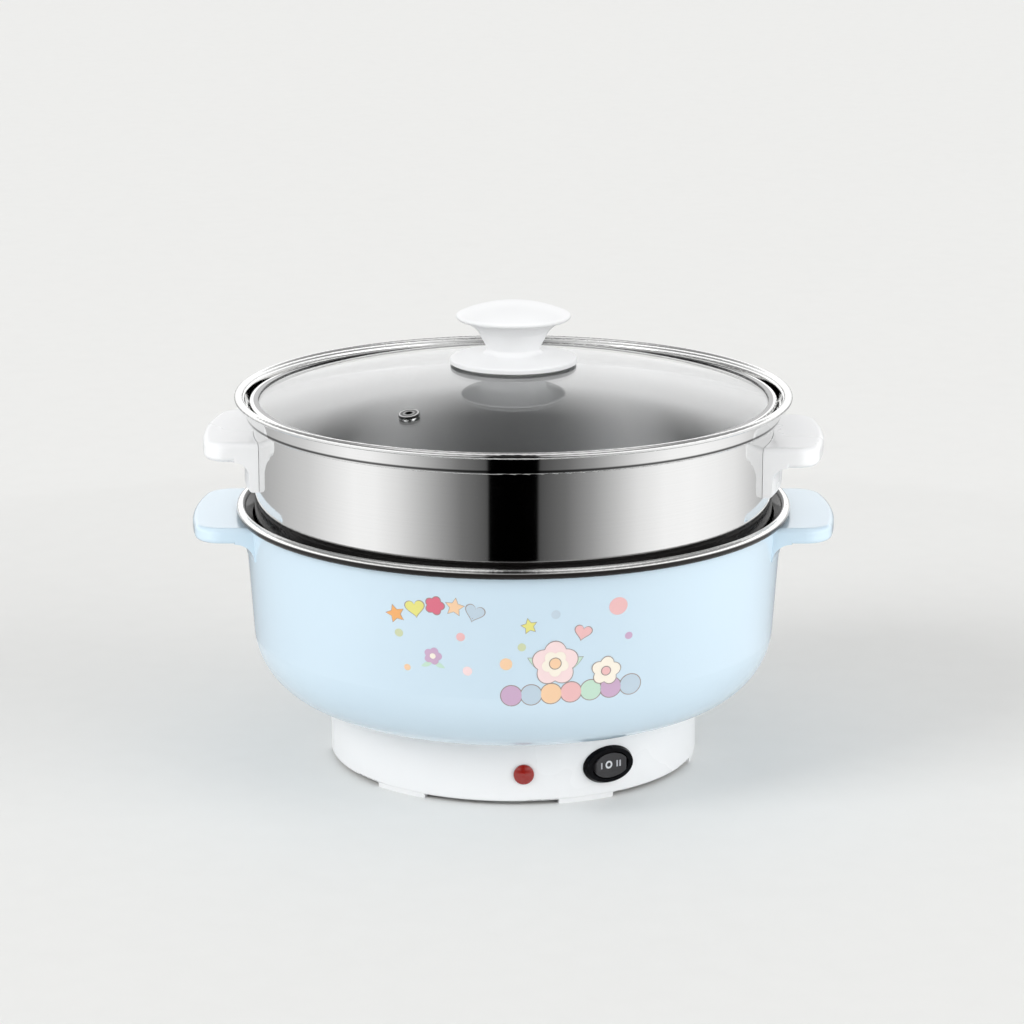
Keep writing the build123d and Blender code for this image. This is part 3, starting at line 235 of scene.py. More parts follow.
# %% Group: ring polish
def split_place(tree, place):
    """The three coordinates of a place, each a socket."""
    node = tree.nodes.new("ShaderNodeSeparateXYZ")
    tree.links.new(place, node.inputs[0])
    return node.outputs


def build_polish_group():
    group, given, result = new_group(
        "Ring Polish", surface_inputs + [("Line Scale", VALUE, 900.0)],
        surface_outputs + [("Radius", VALUE), ("Level", VALUE)])
    x, y, level = split_place(group, given.outputs["Place"])
    x_square = math_node(group, "MULTIPLY", x, x)
    y_square = math_node(group, "MULTIPLY", y, y)
    radius = math_node(group, "SQRT", math_node(group, "ADD", x_square, y_square))
    rings = group.nodes.new("ShaderNodeCombineXYZ")
    group.links.new(radius, rings.inputs["X"])
    group.links.new(level, rings.inputs["Z"])
    lines = noise_node(group, rings.outputs[0], detail=4.0, scale=given.outputs["Line Scale"])
    smudge = noise_node(group, given.outputs["Place"], detail=4.0, scale=9.0)
    link_surface(group, given, result, lines, smudge, lines)
    group.links.new(radius, result.inputs["Radius"])
    group.links.new(level, result.inputs["Level"])
    return group


polish_group = build_polish_group()
print("group:", polish_group.name)

# %% [markdown]
# Speckle: cast and plated metal, brass and rubber all have a small grain with a few darker
# spots. A cell pattern over a noise does that.

# %% Group: speckle
def build_speckle_group():
    group, given, result = new_group(
        "Speckle", surface_inputs + [("Grain Scale", VALUE, 900.0)], surface_outputs)
    place, scale = given.outputs["Place"], given.outputs["Grain Scale"]
    noise = noise_node(group, place, detail=5.0, scale=scale)
    cells = group.nodes.new("ShaderNodeTexVoronoi")
    group.links.new(place, cells.inputs["Vector"])
    group.links.new(scale, cells.inputs["Scale"])
    grain = math_node(group, "MULTIPLY", noise, cells.outputs["Distance"])
    link_surface(group, given, result, grain, noise, grain)
    return group


speckle_group = build_speckle_group()
print("group:", speckle_group.name)

# %% [markdown]
# The next helper puts one of the groups in front of a Principled shader. It reads the place from
# the object's own coordinates, so the grain stays put when a body lifts off.

# %% Connect a group to a shader
def add_effect(tree, shader, group, bump_strength, bump_distance, **values):
    """Place a group, set its inputs, link colour, roughness and bump; returns its node."""
    place = tree.nodes.new("ShaderNodeTexCoord")
    effect = tree.nodes.new("ShaderNodeGroup")
    effect.node_tree = group
    tree.links.new(place.outputs["Object"], effect.inputs["Place"])
    for name, value in values.items():
        effect.inputs[name.replace("_", " ")].default_value = value
    tree.links.new(effect.outputs["Color"], shader.inputs["Base Color"])
    tree.links.new(effect.outputs["Roughness"], shader.inputs["Roughness"])
    bump = tree.nodes.new("ShaderNodeBump")
    bump.inputs["Strength"].default_value = bump_strength
    bump.inputs["Distance"].default_value = bump_distance
    tree.links.new(effect.outputs["Height"], bump.inputs["Height"])
    tree.links.new(bump.outputs["Normal"], shader.inputs["Normal"])
    return effect


def plastic(name, color, shade, roughness, coat=0.0, bump=0.06, **sockets):
    """Moulded plastic in a colour that drifts a little towards a shade."""
    material, tree, shader = new_material(
        name, color, roughness, Coat_Weight=coat, Coat_Roughness=0.04, **sockets)
    add_effect(
        tree, shader, moulding_group, bump_strength=bump, bump_distance=0.4 * MM,
        Color=(*color, 1.0), Shade=(*shade, 1.0), Roughness=roughness, Roughness_Range=0.06)
    return material


def speckled(name, color, shade, roughness, metallic=0.0, grain_scale=900.0, bump=0.25):
    """Cast, plated or rubbery finish with a small grain."""
    material, tree, shader = new_material(name, color, roughness, metallic)
    add_effect(
        tree, shader, speckle_group, bump_strength=bump, bump_distance=0.3 * MM,
        Color=(*color, 1.0), Shade=(*shade, 1.0), Grain_Scale=grain_scale, Roughness=roughness,
        Roughness_Range=0.15)
    return material


# %% [markdown]
# ## Plastics
# The outer shell is a glossy light blue moulding. The base and the basket's handles are white.
# The knob is of a harder white that takes heat, a shade darker, because it sits in full light. The
# switch and the power inlet are black, and the thermostat's body is brown phenolic resin. Each
# plastic has a colour, and a shade of it that the broad noise drifts towards.

# %% Plastics
shell_blue = plastic(
    "shell_blue", (0.640, 0.786, 0.890), (0.620, 0.768, 0.880), 0.14, coat=0.45)
white_plastic = plastic(
    "white_plastic", (0.905, 0.912, 0.920), (0.885, 0.894, 0.905), 0.24, coat=0.15,
    Specular_IOR_Level=0.35)
knob_plastic = plastic(
    "knob_plastic", (0.850, 0.855, 0.861), (0.835, 0.841, 0.850), 0.26, coat=0.05,
    Specular_IOR_Level=0.25)
black_plastic = plastic(
    "black_plastic", (0.003, 0.003, 0.004), (0.005, 0.005, 0.006), 0.12, Specular_IOR_Level=0.06)
rocker_plastic = plastic("rocker_plastic", (0.022, 0.021, 0.023), (0.034, 0.032, 0.035), 0.20)
phenolic = plastic("thermostat_body", (0.28, 0.14, 0.08), (0.20, 0.09, 0.05), 0.5)

dress(shell_blue, "outer_shell")
dress(
    white_plastic, "base_housing", "bottom_cover", "steamer_handle_right", "steamer_handle_left")
dress(knob_plastic, "lid_knob")
dress(black_plastic, "switch_frame", "power_inlet")
dress(rocker_plastic, "switch_rocker")
dress(phenolic, "thermostat")

# %% [markdown]
# ## Steel
# The outside of the basket, the lid's rim band and the vent eyelet are mirror-polished stainless
# steel. Its roughness is very low, and the ring polish adds faint circles. The three pieces share
# this steel and differ in where it is painted dark as shade or left dull, so each adds its own
# masks.

# %% Mirror steel
def steel_material(name):
    """Mirror-polished steel with rings; returns the material, its tree, shader and effect node."""
    color = (0.86, 0.86, 0.855)
    material, tree, shader = new_material(name, color, roughness=0.05, metallic=1.0)
    effect = add_effect(
        tree, shader, polish_group, bump_strength=0.012, bump_distance=0.2 * MM,
        Color=(*color, 1.0), Shade=(0.80, 0.80, 0.795, 1.0), Roughness=0.035,
        Roughness_Range=0.05, Line_Scale=1400.0)
    return material, tree, shader, effect


# %% [markdown]
# The eyelet is a small rolled flange. Its rings are not modelled: a painted highlight ring near the
# edge and painted shade rings around the hole are set in the steel's colour instead, by the
# distance from the eyelet's own axis, which we read from the faces that look upwards. The rolled
# edge is painted dark as its shadow line, and the part in the glass stays a dull dark grey.

# %% Masks and ramps
def ramp_between(tree, value, start, end):
    """0 below start and 1 above end, with a straight ramp in between."""
    node = tree.nodes.new("ShaderNodeMapRange")
    node.inputs["From Min"].default_value = start
    node.inputs["From Max"].default_value = end
    tree.links.new(value, node.inputs["Value"])
    return node.outputs["Result"]


def gray_ramp(tree, value, levels, scale=1.0):
    """Colour ramp of greys; levels are (place, level) pairs with places up to scale."""
    ramp = tree.nodes.new("ShaderNodeValToRGB")
    elements = ramp.color_ramp.elements
    while len(elements) < len(levels):
        elements.new(1.0)
    for element, (place, level) in zip(elements, levels):
        element.position = place / scale
        element.color = (level, level, level, 1.0)
    tree.links.new(value, ramp.inputs["Fac"])
    return ramp.outputs["Color"]


def vector_node(tree, operation, first, second=None):
    """Vector math node whose operands are sockets or vectors; returns the node."""
    node = tree.nodes.new("ShaderNodeVectorMath")
    node.operation = operation
    for socket, operand in zip(node.inputs, (first, second)):
        if isinstance(operand, Vector):
            socket.default_value = operand
        elif operand is not None:
            tree.links.new(operand, socket)
    return node


# %% The eyelet's own axis
def middle_of(node_name):
    low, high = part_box(node_name)
    return (low + high) / 2


def upward_axis(node_name):
    """Direction in which a node's upward faces look, weighted by their area."""
    least_upward = 0.7
    total = Vector()
    for face in nodes[node_name].data.polygons:
        if face.normal.z > least_upward:
            total += face.normal * face.area
    return total.normalized()


eyelet_middle = middle_of("lid_vent_eyelet")
eyelet_axis = upward_axis("lid_vent_eyelet")
eyelet_top = max(
    (vertex.co - eyelet_middle).dot(eyelet_axis)
    for vertex in nodes["lid_vent_eyelet"].data.vertices)
print("eyelet axis:", [round(v, 3) for v in eyelet_axis], "half height:", round(eyelet_top, 4))


# %% Eyelet steel
def eyelet_material():
    flange_radius, flange_height = 5.2 * MM, 1.3 * MM
    # The near-black of the flange's rolled edge is painted shade, its shadow line.
    edge_painted_shade, stem_color = (0.06, 0.06, 0.06, 1.0), (0.25, 0.25, 0.25, 1.0)
    dull_roughness = 0.4
    # Grey levels by distance from the axis: a painted highlight ring and painted shade rings.
    painted_light_by_millimetre = [
        (0.0, 0.05), (1.7, 0.05), (2.0, 0.30), (2.6, 0.44), (3.1, 0.17), (3.9, 0.17), (4.4, 0.70),
        (4.9, 0.70), (5.1, 0.06)]
    material, tree, shader, effect = steel_material("eyelet_steel")
    place = tree.nodes.new("ShaderNodeTexCoord")
    offset = vector_node(tree, "SUBTRACT", place.outputs["Object"], eyelet_middle).outputs[0]
    height = vector_node(tree, "DOT_PRODUCT", offset, eyelet_axis).outputs["Value"]
    across = vector_node(tree, "CROSS_PRODUCT", offset, eyelet_axis).outputs[0]
    distance = vector_node(tree, "LENGTH", across).outputs["Value"]
    share = math_node(tree, "DIVIDE", distance, flange_radius)
    rings = gray_ramp(tree, share, painted_light_by_millimetre, flange_radius / MM)
    flange_under = eyelet_top - flange_height
    in_flange = ramp_between(tree, height, flange_under - 0.2 * MM, flange_under)
    on_top = ramp_between(tree, height, eyelet_top - 0.3 * MM, eyelet_top - 0.1 * MM)
    below = blend_colors(tree, in_flange, stem_color, edge_painted_shade)
    tree.links.new(blend_colors(tree, on_top, below, rings), shader.inputs["Base Color"])
    off_top = math_node(tree, "SUBTRACT", 1.0, on_top)
    dull = math_node(tree, "MULTIPLY", off_top, dull_roughness)
    tree.links.new(
        math_node(tree, "MAXIMUM", dull, effect.outputs["Roughness"]), shader.inputs["Roughness"])
    return material


eyelet_steel = eyelet_material()
dress(eyelet_steel, "lid_vent_eyelet")

# %% [markdown]
# The band of the lid is polished steel. Its lip, rolled inwards over the glass, is painted dark
# there as a painted dark reflection, so the glass seems to be set in a bright line and a dark one.

# %% Band steel
def band_material():
    # The lip's dark grey is a painted dark reflection, not the steel's own colour.
    lip_painted_reflection = (0.17, 0.17, 0.17, 1.0)
    lip_inset = 1.9 * MM
    soft = 0.3 * MM
    lip_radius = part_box("lid_rim_band")[1].y - lip_inset
    material, tree, shader, effect = steel_material("band_steel")
    outside = ramp_between(tree, effect.outputs["Radius"], lip_radius - soft, lip_radius + soft)
    tone = blend_colors(tree, outside, lip_painted_reflection, effect.outputs["Color"])
    tree.links.new(tone, shader.inputs["Base Color"])
    return material


band_steel = band_material()
dress(band_steel, "lid_rim_band")

# %% [markdown]
# Only the outside of a basket meets the polishing wheel. Its inside is satin, and its darker grey
# there is partly the dull steel of the drawing press and partly painted shade for the deep inside
# of
# the basket. So the basket gets two masks. One splits the thin wall down its middle, by radius:
# outside it the steel is bright, inside it is satin with painted shade. The other paints shade on
# the narrow groove where the collar starts, a painted dark line under the collar.

# %% Basket steel
def near_level(tree, value, middle, half_width, soft):
    """1 where a value is within half a width of the middle, softly 0 outside."""
    distance = math_node(tree, "ABSOLUTE", math_node(tree, "SUBTRACT", value, middle))
    return math_node(
        tree, "SUBTRACT", 1.0, ramp_between(tree, distance, half_width - soft, half_width + soft))


def basket_material():
    wall_inset, wall_thickness = 9.2 * MM, 0.6 * MM
    collar_height = 10.0 * MM
    groove_half_height, groove_soft = 0.6 * MM, 0.3 * MM
    # The inside's grey is satin steel, darkened further as painted shade.
    satin_and_shade_color = (0.50, 0.50, 0.51, 1.0)
    satin_roughness = 0.34
    # The groove's near-black is painted shade, a dark line under the collar.
    groove_painted_shade = (0.10, 0.10, 0.10, 1.0)
    satin_radius = pan_high.y - wall_inset - wall_thickness / 2
    soft = 0.1 * MM
    material, tree, shader, effect = steel_material("basket_steel")
    bright = ramp_between(tree, effect.outputs["Radius"], satin_radius - soft, satin_radius + soft)
    groove = near_level(
        tree, effect.outputs["Level"], pan_high.z - collar_height, groove_half_height, groove_soft)
    outside = blend_colors(tree, groove, effect.outputs["Color"], groove_painted_shade)
    tree.links.new(blend_colors(tree, bright, satin_and_shade_color, outside), shader.inputs["Base Color"])
    dull = math_node(tree, "MULTIPLY", math_node(tree, "SUBTRACT", 1.0, bright), satin_roughness)
    tree.links.new(
        math_node(tree, "MAXIMUM", dull, effect.outputs["Roughness"]), shader.inputs["Roughness"])
    return material


basket_steel = basket_material()
dress(basket_steel, "steamer_pan")

# %% [markdown]
# ## The inner pot
# The pot is aluminium with a glossy black non-stick coat. The top of its rolled rim is left
# bare and polished, so it shows as a bright ring between two black lines. One mask, made from
# the radius and the level that the polish group puts out, turns coat into metal there.

# %% Non-stick pot with a bright rim
def pot_material():
    coat = (0.012, 0.011, 0.011)
    bare = (0.92, 0.92, 0.91, 1.0)
    bare_width_share, bare_level_share = 0.68, 0.14
    soft = 0.3 * MM
    material, tree, shader = new_material(
        "nonstick_coat", coat, roughness=0.12, Specular_IOR_Level=0.18)
    effect = add_effect(
        tree, shader, polish_group, bump_strength=0.02, bump_distance=0.2 * MM,
        Color=(*coat, 1.0), Shade=(0.020, 0.017, 0.016, 1.0), Roughness=0.10,
        Roughness_Range=0.08, Line_Scale=700.0)
    inner = rim_radius - bare_width_share * bead_width
    bottom = rim_level + bare_level_share * bead_height
    past_slope = ramp_between(tree, effect.outputs["Radius"], inner - soft, inner + soft)
    above_turn = ramp_between(tree, effect.outputs["Level"], bottom - soft, bottom + soft)
    mask = math_node(tree, "MULTIPLY", past_slope, above_turn)
    color = blend_colors(tree, mask, effect.outputs["Color"], bare)
    tree.links.new(color, shader.inputs["Base Color"])
    tree.links.new(mask, shader.inputs["Metallic"])
    return material


nonstick_coat = pot_material()
dress(nonstick_coat, "inner_pot")

# %% [markdown]
# ## Glass and lens
# The lid is solid tempered glass. A glass shader blocks light for everything under it unless
# shadow rays may pass, so a Light Path node lets them through a plain transparent shader. The
# little lamp behind the red lens has the same glass. The lens itself is a deep red plastic with a
# glossy coat: a clear one would show the lamp, and the real one looks solid.

# %% Glass
def output_mix(tree, factor, first, second):
    """Send a mix of two shaders to the material's output."""
    mix = tree.nodes.new("ShaderNodeMixShader")
    for socket, operand in zip(mix.inputs, (factor, first, second)):
        tree.links.new(operand, socket)
    tree.links.new(mix.outputs[0], tree.nodes["Material Output"].inputs["Surface"])


def glass_material(name, tint, coat=0.0):
    """Solid glass whose roughness varies a hair, as wiped glass does."""
    most_haze, wipe_scale = 0.02, 18.0
    material, tree, shader = new_material(
        name, tint, most_haze / 2, Transmission_Weight=1.0, IOR=1.52, Coat_Weight=coat,
        Coat_Roughness=0.02)
    place = tree.nodes.new("ShaderNodeTexCoord")
    wipe = noise_node(tree, place.outputs["Object"], detail=2.0, scale=wipe_scale)
    haze = math_node(tree, "MULTIPLY", wipe, most_haze)
    tree.links.new(haze, shader.inputs["Roughness"])
    light_path = tree.nodes.new("ShaderNodeLightPath")
    clear = tree.nodes.new("ShaderNodeBsdfTransparent")
    clear.inputs["Color"].default_value = (*tint, 1.0)
    output_mix(tree, light_path.outputs["Is Shadow Ray"], shader.outputs[0], clear.outputs[0])
    return material


lid_glass = glass_material("lid_glass", (0.93, 0.945, 0.94), coat=0.5)
lamp_glass = glass_material("lamp_glass", (0.95, 0.86, 0.75))
red_lens = plastic("red_lens", (0.36, 0.018, 0.012), (0.27, 0.011, 0.008), 0.10, coat=0.6)
dress(lid_glass, "lid_glass")
dress(lamp_glass, "indicator_lamp")
dress(red_lens, "indicator_lens")

# %% [markdown]
# ## Small metal and soft parts
# Screws, nuts and studs are zinc-plated, blades and pins are brass, the hot plate is cast
# aluminium and its guard is bright sheet. The gasket and the soft washer are silicone, and the
# leads have coloured insulation. None of them shows from outside, but each has its own finish.

# %% Small parts
zinc_steel = speckled("zinc_steel", (0.62, 0.62, 0.60), (0.50, 0.51, 0.50), 0.28, 1.0)
brass = speckled("brass", (0.78, 0.57, 0.25), (0.66, 0.45, 0.18), 0.25, 1.0)
cast_aluminium = speckled(
    "cast_aluminium", (0.50, 0.50, 0.51), (0.38, 0.38, 0.39), 0.45, 1.0, grain_scale=500.0,
    bump=0.6)
guard_aluminium = speckled(
    "guard_aluminium", (0.72, 0.72, 0.73), (0.62, 0.62, 0.63), 0.22, 1.0)
silicone = speckled("silicone", (0.80, 0.80, 0.79), (0.70, 0.70, 0.69), 0.45)
fuse_sleeve = speckled(
    "fuse_sleeve", (0.80, 0.77, 0.69), (0.60, 0.56, 0.47), 0.8, grain_scale=1500.0, bump=0.8)
lead_finishes = {
    "lead_brown": ((0.16, 0.06, 0.025), ("lead_inlet_fuse", "lead_fuse_switch")),
    "lead_blue": ((0.03, 0.12, 0.45), ("lead_neutral", "lead_link")),
    "lead_white": ((0.78, 0.78, 0.74), ("lead_low_heat", "lead_high_heat")),
    "lead_green": ((0.09, 0.36, 0.07), ("lead_earth",)),
}

dress(zinc_steel, "pot_studs", "element_terminals", "thermostat_strap", "base_nuts", "cover_screws",
      "indicator_clip", "steamer_handle_screws", "lid_steel_washer", "lid_knob_screw")
dress(brass, "switch_terminals", "inlet_pins", "lid_knob_insert")
dress(cast_aluminium, "heater_plate")
dress(guard_aluminium, "heat_shield")
dress(silicone, "lid_knob_gasket", "lid_soft_washer")
dress(fuse_sleeve, "thermal_fuse")
for name, (color, leads) in lead_finishes.items():
    darker = tuple(0.8 * channel for channel in color)
    dress(speckled(name, color, darker, 0.4), *leads)

# %% [markdown]
# ## Laying flat prints on a curved wall
# A print is drawn flat: so far across the wall from its front line, and so high up. Each shape is
# filled, cut into small triangles and then pushed onto the shell by a ray towards the axis. A few
# hundredths of a millimetre of lift per layer keep the colours from fighting each other.

# %% Tools for prints
shell_tree = BVHTree.FromObject(nodes["outer_shell"], bpy.context.evaluated_depsgraph_get())
wall_radius = 0.96 * rim_radius
ray_start_radius = 2 * rim_radius


def on_shell(across, height, lift):
    """Point on the shell's wall, at a distance across from the front line and a height."""
    angle = math.asin(max(-1.0, min(1.0, across / wall_radius)))
    outward = Vector((math.sin(angle), -math.cos(angle), 0.0))
    start = outward * ray_start_radius + Vector((0, 0, height))
    place, normal, _, _ = shell_tree.ray_cast(start, -outward)
    return place + normal * lift


def add_outline(mesh, outline, place_point, lift, material_index, longest=2.5 * MM):
    """Fill one flat outline, cut it small and lay it on a surface, inside a bmesh."""
    most_rounds = 5
    flat = bmesh.new()
    corners = [flat.verts.new((x, y, 0)) for x, y in outline]
    flat.faces.new(corners)
    bmesh.ops.triangulate(flat, faces=flat.faces[:])
    for _ in range(most_rounds):
        long_edges = [edge for edge in flat.edges if edge.calc_length() > longest]
        if not long_edges:
            break
        bmesh.ops.subdivide_edges(flat, edges=long_edges, cuts=1)
        bmesh.ops.triangulate(flat, faces=flat.faces[:])
    flat.verts.index_update()
    laid = [mesh.verts.new(place_point(vert.co.x, vert.co.y, lift)) for vert in flat.verts]
    for face in flat.faces:
        new_face = mesh.faces.new([laid[vert.index] for vert in face.verts])
        new_face.material_index = material_index
        new_face.smooth = True
    flat.free()


def mesh_object(name, mesh, materials):
    """Turn a bmesh into an object with these materials."""
    data = bpy.data.meshes.new(name)
    mesh.to_mesh(data)
    mesh.free()
    for material in materials:
        data.materials.append(material)
    made = bpy.data.objects.new(name, data)
    bpy.context.scene.collection.objects.link(made)
    return made


def finish_piece(name, mesh, materials, body):
    """Turn a bmesh into a piece that rides on a body."""
    piece = mesh_object(name, mesh, materials)
    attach(piece, body)
    return piece


# %% [markdown]
# ## Motifs
# The shell carries a light-hearted print in pastel colours: a plain pattern of stars, hearts,
# flowers and dots over a ribbon of discs. Each motif is an outline from a formula. A polar
# formula gives the star and the flower, a well-known sine curve gives the heart, and a leaf is two
# arcs back to back.

# %% Outlines of the motifs
def dot(x, y, radius, points=28):
    turn = 2 * math.pi / points
    return [
        (x + radius * math.cos(i * turn), y + radius * math.sin(i * turn)) for i in range(points)]


def star(x, y, radius, tips=5, tilt=0.0, waist=0.5):
    """Points that lie in turn on the full radius and on the waist."""
    outline = []
    for i in range(2 * tips):
        reach = radius if i % 2 == 0 else waist * radius
        angle = math.pi / 2 + math.radians(tilt) + i * math.pi / tips
        outline.append((x + reach * math.cos(angle), y + reach * math.sin(angle)))
    return outline


def flower(x, y, radius, petals=5, tilt=0.0, depth=0.24, points=60):
    """Round petals; depth is how far the gaps between them cut in."""
    outline = []
    for i in range(points):
        angle = 2 * math.pi * i / points
        reach = radius * (1 - depth + depth * abs(math.cos(petals / 2 * angle)))
        place = angle + math.radians(tilt)
        outline.append((x + reach * math.cos(place), y + reach * math.sin(place)))
    return outline


def heart(x, y, radius, tilt=0.0, points=36):
    outline = []
    turn = math.radians(tilt)
    for i in range(points):
        t = 2 * math.pi * i / points
        across = math.sin(t) ** 3
        up = (13 * math.cos(t) - 5 * math.cos(2 * t) - 2 * math.cos(3 * t) - math.cos(4 * t)) / 16
        outline.append((
            x + radius * (across * math.cos(turn) - up * math.sin(turn)),
            y + radius * (across * math.sin(turn) + up * math.cos(turn)),
        ))
    return outline


def leaf(x, y, length, tilt, width=0.36, points=20):
    outline = []
    turn = math.radians(tilt)
    for i in range(points):
        t = i / points
        along = length * (2 * t if t < 0.5 else 2 - 2 * t)
        side = width * length * math.sin(math.pi * along / length) * (0.5 if t < 0.5 else -0.5)
        outline.append((
            x + along * math.cos(turn) - side * math.sin(turn),
            y + along * math.sin(turn) + side * math.cos(turn),
        ))
    return outline


# %% [markdown]
# ## Inks
# Printed ink is a thin film: matt against the glossy plastic, a little uneven, never quite
# opaque. A small set of pastel inks is shared by all motifs.

# %% Inks
def ink(name, color):
    """Matt ink that drifts towards a slightly paler, greyer shade of its colour."""
    kept, white_added = 0.90, 0.08
    shade = tuple(min(1.0, kept * channel + white_added) for channel in color)
    return plastic(name, color, shade, 0.30, bump=0.10)


ink_colors = {
    "ink_outline": (0.32, 0.26, 0.24),
    "ink_orange": (0.90, 0.42, 0.12),
    "ink_lemon": (0.80, 0.76, 0.20),
    "ink_raspberry": (0.72, 0.14, 0.22),
    "ink_peach": (0.93, 0.62, 0.38),
    "ink_grey_blue": (0.52, 0.64, 0.74),
    "ink_pink": (0.86, 0.50, 0.50),
    "ink_cream": (0.95, 0.88, 0.76),
    "ink_rose": (0.93, 0.72, 0.72),
    "ink_mauve": (0.60, 0.40, 0.58),
    "ink_mint": (0.55, 0.76, 0.62),
    "ink_olive": (0.62, 0.68, 0.42),
}
inks = {name: ink(name, color) for name, color in ink_colors.items()}
ink_order = list(inks)
print("inks:", len(inks))

# %% [markdown]
# ## Composing the print
# A motif is drawn twice: first a size larger in the outline ink, then in its own colour. Soft
# dots have no outline. Places and radii are in millimetres, across from the front line and up
# from the table. The left group is an arch of small motifs with a sprig below it.

# %% Print on the left
outline_width = 0.45 * MM
layer_lift = 0.03 * MM


def print_motif(mesh, shape, x, y, radius, color, layer=1, outlined=True, **options):
    """One motif in millimetres, with its outline under it; later layers lie on top."""
    if outlined:
        rim = shape(x * MM, y * MM, radius * MM + outline_width, **options)
        add_outline(mesh, rim, on_shell, layer * layer_lift, ink_order.index("ink_outline"))
    body = shape(x * MM, y * MM, radius * MM, **options)
    add_outline(mesh, body, on_shell, (layer + 1) * layer_lift, ink_order.index(color))


def print_left_group():
    mesh = bmesh.new()
    arch = [
        (star, "ink_orange"), (heart, "ink_lemon"), (flower, "ink_raspberry"),
        (star, "ink_peach"), (heart, "ink_grey_blue"),
    ]
    arch_middle, arch_crown, arch_pitch = -37.0, 112.4, 9.4
    drop_per_step, rise_per_step, tilt_per_step = 1.05, 0.9, -9.0
    for step, (shape, color) in enumerate(arch, start=-2):
        x = arch_middle + arch_pitch * step
        y = arch_crown - drop_per_step * step ** 2 + rise_per_step * step
        print_motif(mesh, shape, x, y, 4.5, color, tilt=tilt_per_step * step)

    sprig_x, sprig_y = -38.5, 87.0
    for tilt in (205, 335):
        print_motif(mesh, leaf, sprig_x, sprig_y - 3.0, 6.4, "ink_mint", tilt=tilt, outlined=False)
    print_motif(mesh, flower, sprig_x, sprig_y, 4.4, "ink_mauve", layer=3, outlined=False)
    print_motif(mesh, dot, sprig_x, sprig_y, 1.4, "ink_cream", layer=5, outlined=False)
    loose_dots = [
        (-54.5, 97.0, 2.0, "ink_olive"), (-25.0, 97.5, 2.1, "ink_pink"),
        (-51.0, 80.0, 1.6, "ink_peach"), (-22.0, 80.5, 2.3, "ink_rose"),
    ]
    for x, y, radius, color in loose_dots:
        print_motif(mesh, dot, x, y, radius, color, outlined=False)
    return finish_piece("print_left", mesh, inks.values(), "pot")


# %% [markdown]
# The right group is a posy: a large flower and a smaller one, leaves and a ribbon of pastel discs
# under them, with a heart, a star and loose dots around. The ribbon's discs are set closer than
# they are wide, so each covers the edge of the one before.

# %% Print on the right
def print_right_group():
    mesh = bmesh.new()
    ribbon_x, ribbon_y, ribbon_pitch, ribbon_rise = -1.0, 68.6, 9.6, 0.35
    ribbon_colors = (
        "ink_mauve", "ink_grey_blue", "ink_peach", "ink_pink", "ink_mint", "ink_mauve",
        "ink_grey_blue")
    for index, color in enumerate(ribbon_colors):
        x = ribbon_x + ribbon_pitch * index
        y = ribbon_y + ribbon_rise * index
        print_motif(mesh, dot, x, y, 5.0, color)

    large_x, large_y = 20.0, 84.5
    for tilt, length in ((150, 15.0), (28, 15.0), (100, 13.0)):
        print_motif(mesh, leaf, large_x, large_y - 4.5, length, "ink_mint", layer=3, tilt=tilt)
    print_motif(mesh, flower, large_x, large_y, 11.0, "ink_rose", layer=5, tilt=18, depth=0.22)
    print_motif(
        mesh, flower, large_x, large_y, 6.6, "ink_cream", layer=8, outlined=False, tilt=54)
    print_motif(mesh, dot, large_x, large_y, 2.6, "ink_peach", layer=10)

    small_x, small_y = 44.5, 79.0
    print_motif(mesh, flower, small_x, small_y, 7.0, "ink_cream", layer=5, tilt=10)
    print_motif(mesh, dot, small_x, small_y, 2.0, "ink_pink", layer=8)
    print_motif(mesh, heart, 33.0, 99.5, 4.0, "ink_pink", layer=3, tilt=-14)
    print_motif(mesh, star, 7.5, 103.5, 3.8, "ink_lemon", layer=3, tilt=12)
    loose_dots = [
        (4.0, 93.0, 2.0, "ink_olive"), (49.5, 111.0, 4.4, "ink_pink"),
        (55.0, 95.5, 1.8, "ink_mauve"), (-3.5, 84.5, 3.0, "ink_peach"),
        (20.0, 109.0, 2.2, "ink_grey_blue"),
    ]
    for x, y, radius, color in loose_dots:
        print_motif(mesh, dot, x, y, radius, color, outlined=False)
    return finish_piece("print_right", mesh, inks.values(), "pot")


print_pieces = [print_left_group(), print_right_group()]
print("print triangles:", [len(piece.data.polygons) for piece in print_pieces])

# %% [markdown]
# ## Marks on the switch
# The rocker says which way is which: one bar, a ring for off, and two bars. They are pad-printed
# in greys, the ring the lightest, so they lie on the rocker's hollow face and ride on the rocker,
# not on the pot. The rocker sits at an angle on the round base, so we first find the direction
# in which its face looks, and the middle of the marks on it.

# %% Where the rocker is
rocker_middle = middle_of("switch_rocker")
switch_angle = math.atan2(rocker_middle.x, -rocker_middle.y)
switch_outward = Vector((math.sin(switch_angle), -math.cos(switch_angle), 0.0))
switch_right = Vector((math.cos(switch_angle), math.sin(switch_angle), 0.0))
marks_left, marks_up = 0.5 * MM, 0.5 * MM
ray_distance = 30 * MM
marks_middle = rocker_middle - switch_right * marks_left + Vector((0, 0, marks_up))
rocker_tree = BVHTree.FromObject(nodes["switch_rocker"], bpy.context.evaluated_depsgraph_get())
print("marks at", [round(v, 4) for v in marks_middle])


def on_rocker(across, up, lift):
    """Point on the face of the rocker, from the middle of the marks."""
    start = marks_middle + switch_right * across + Vector((0, 0, up))
    start += switch_outward * ray_distance
    place = rocker_tree.ray_cast(start, -switch_outward)[0]
    return place + switch_outward * lift


# %% Switch marks
def bar(x, width, height):
    return [
        (x - width / 2, -height / 2), (x + width / 2, -height / 2),
        (x + width / 2, height / 2), (x - width / 2, height / 2)]


def ring_point(middle, radius, angle):
    return (middle + radius * math.sin(angle), radius * math.cos(angle))


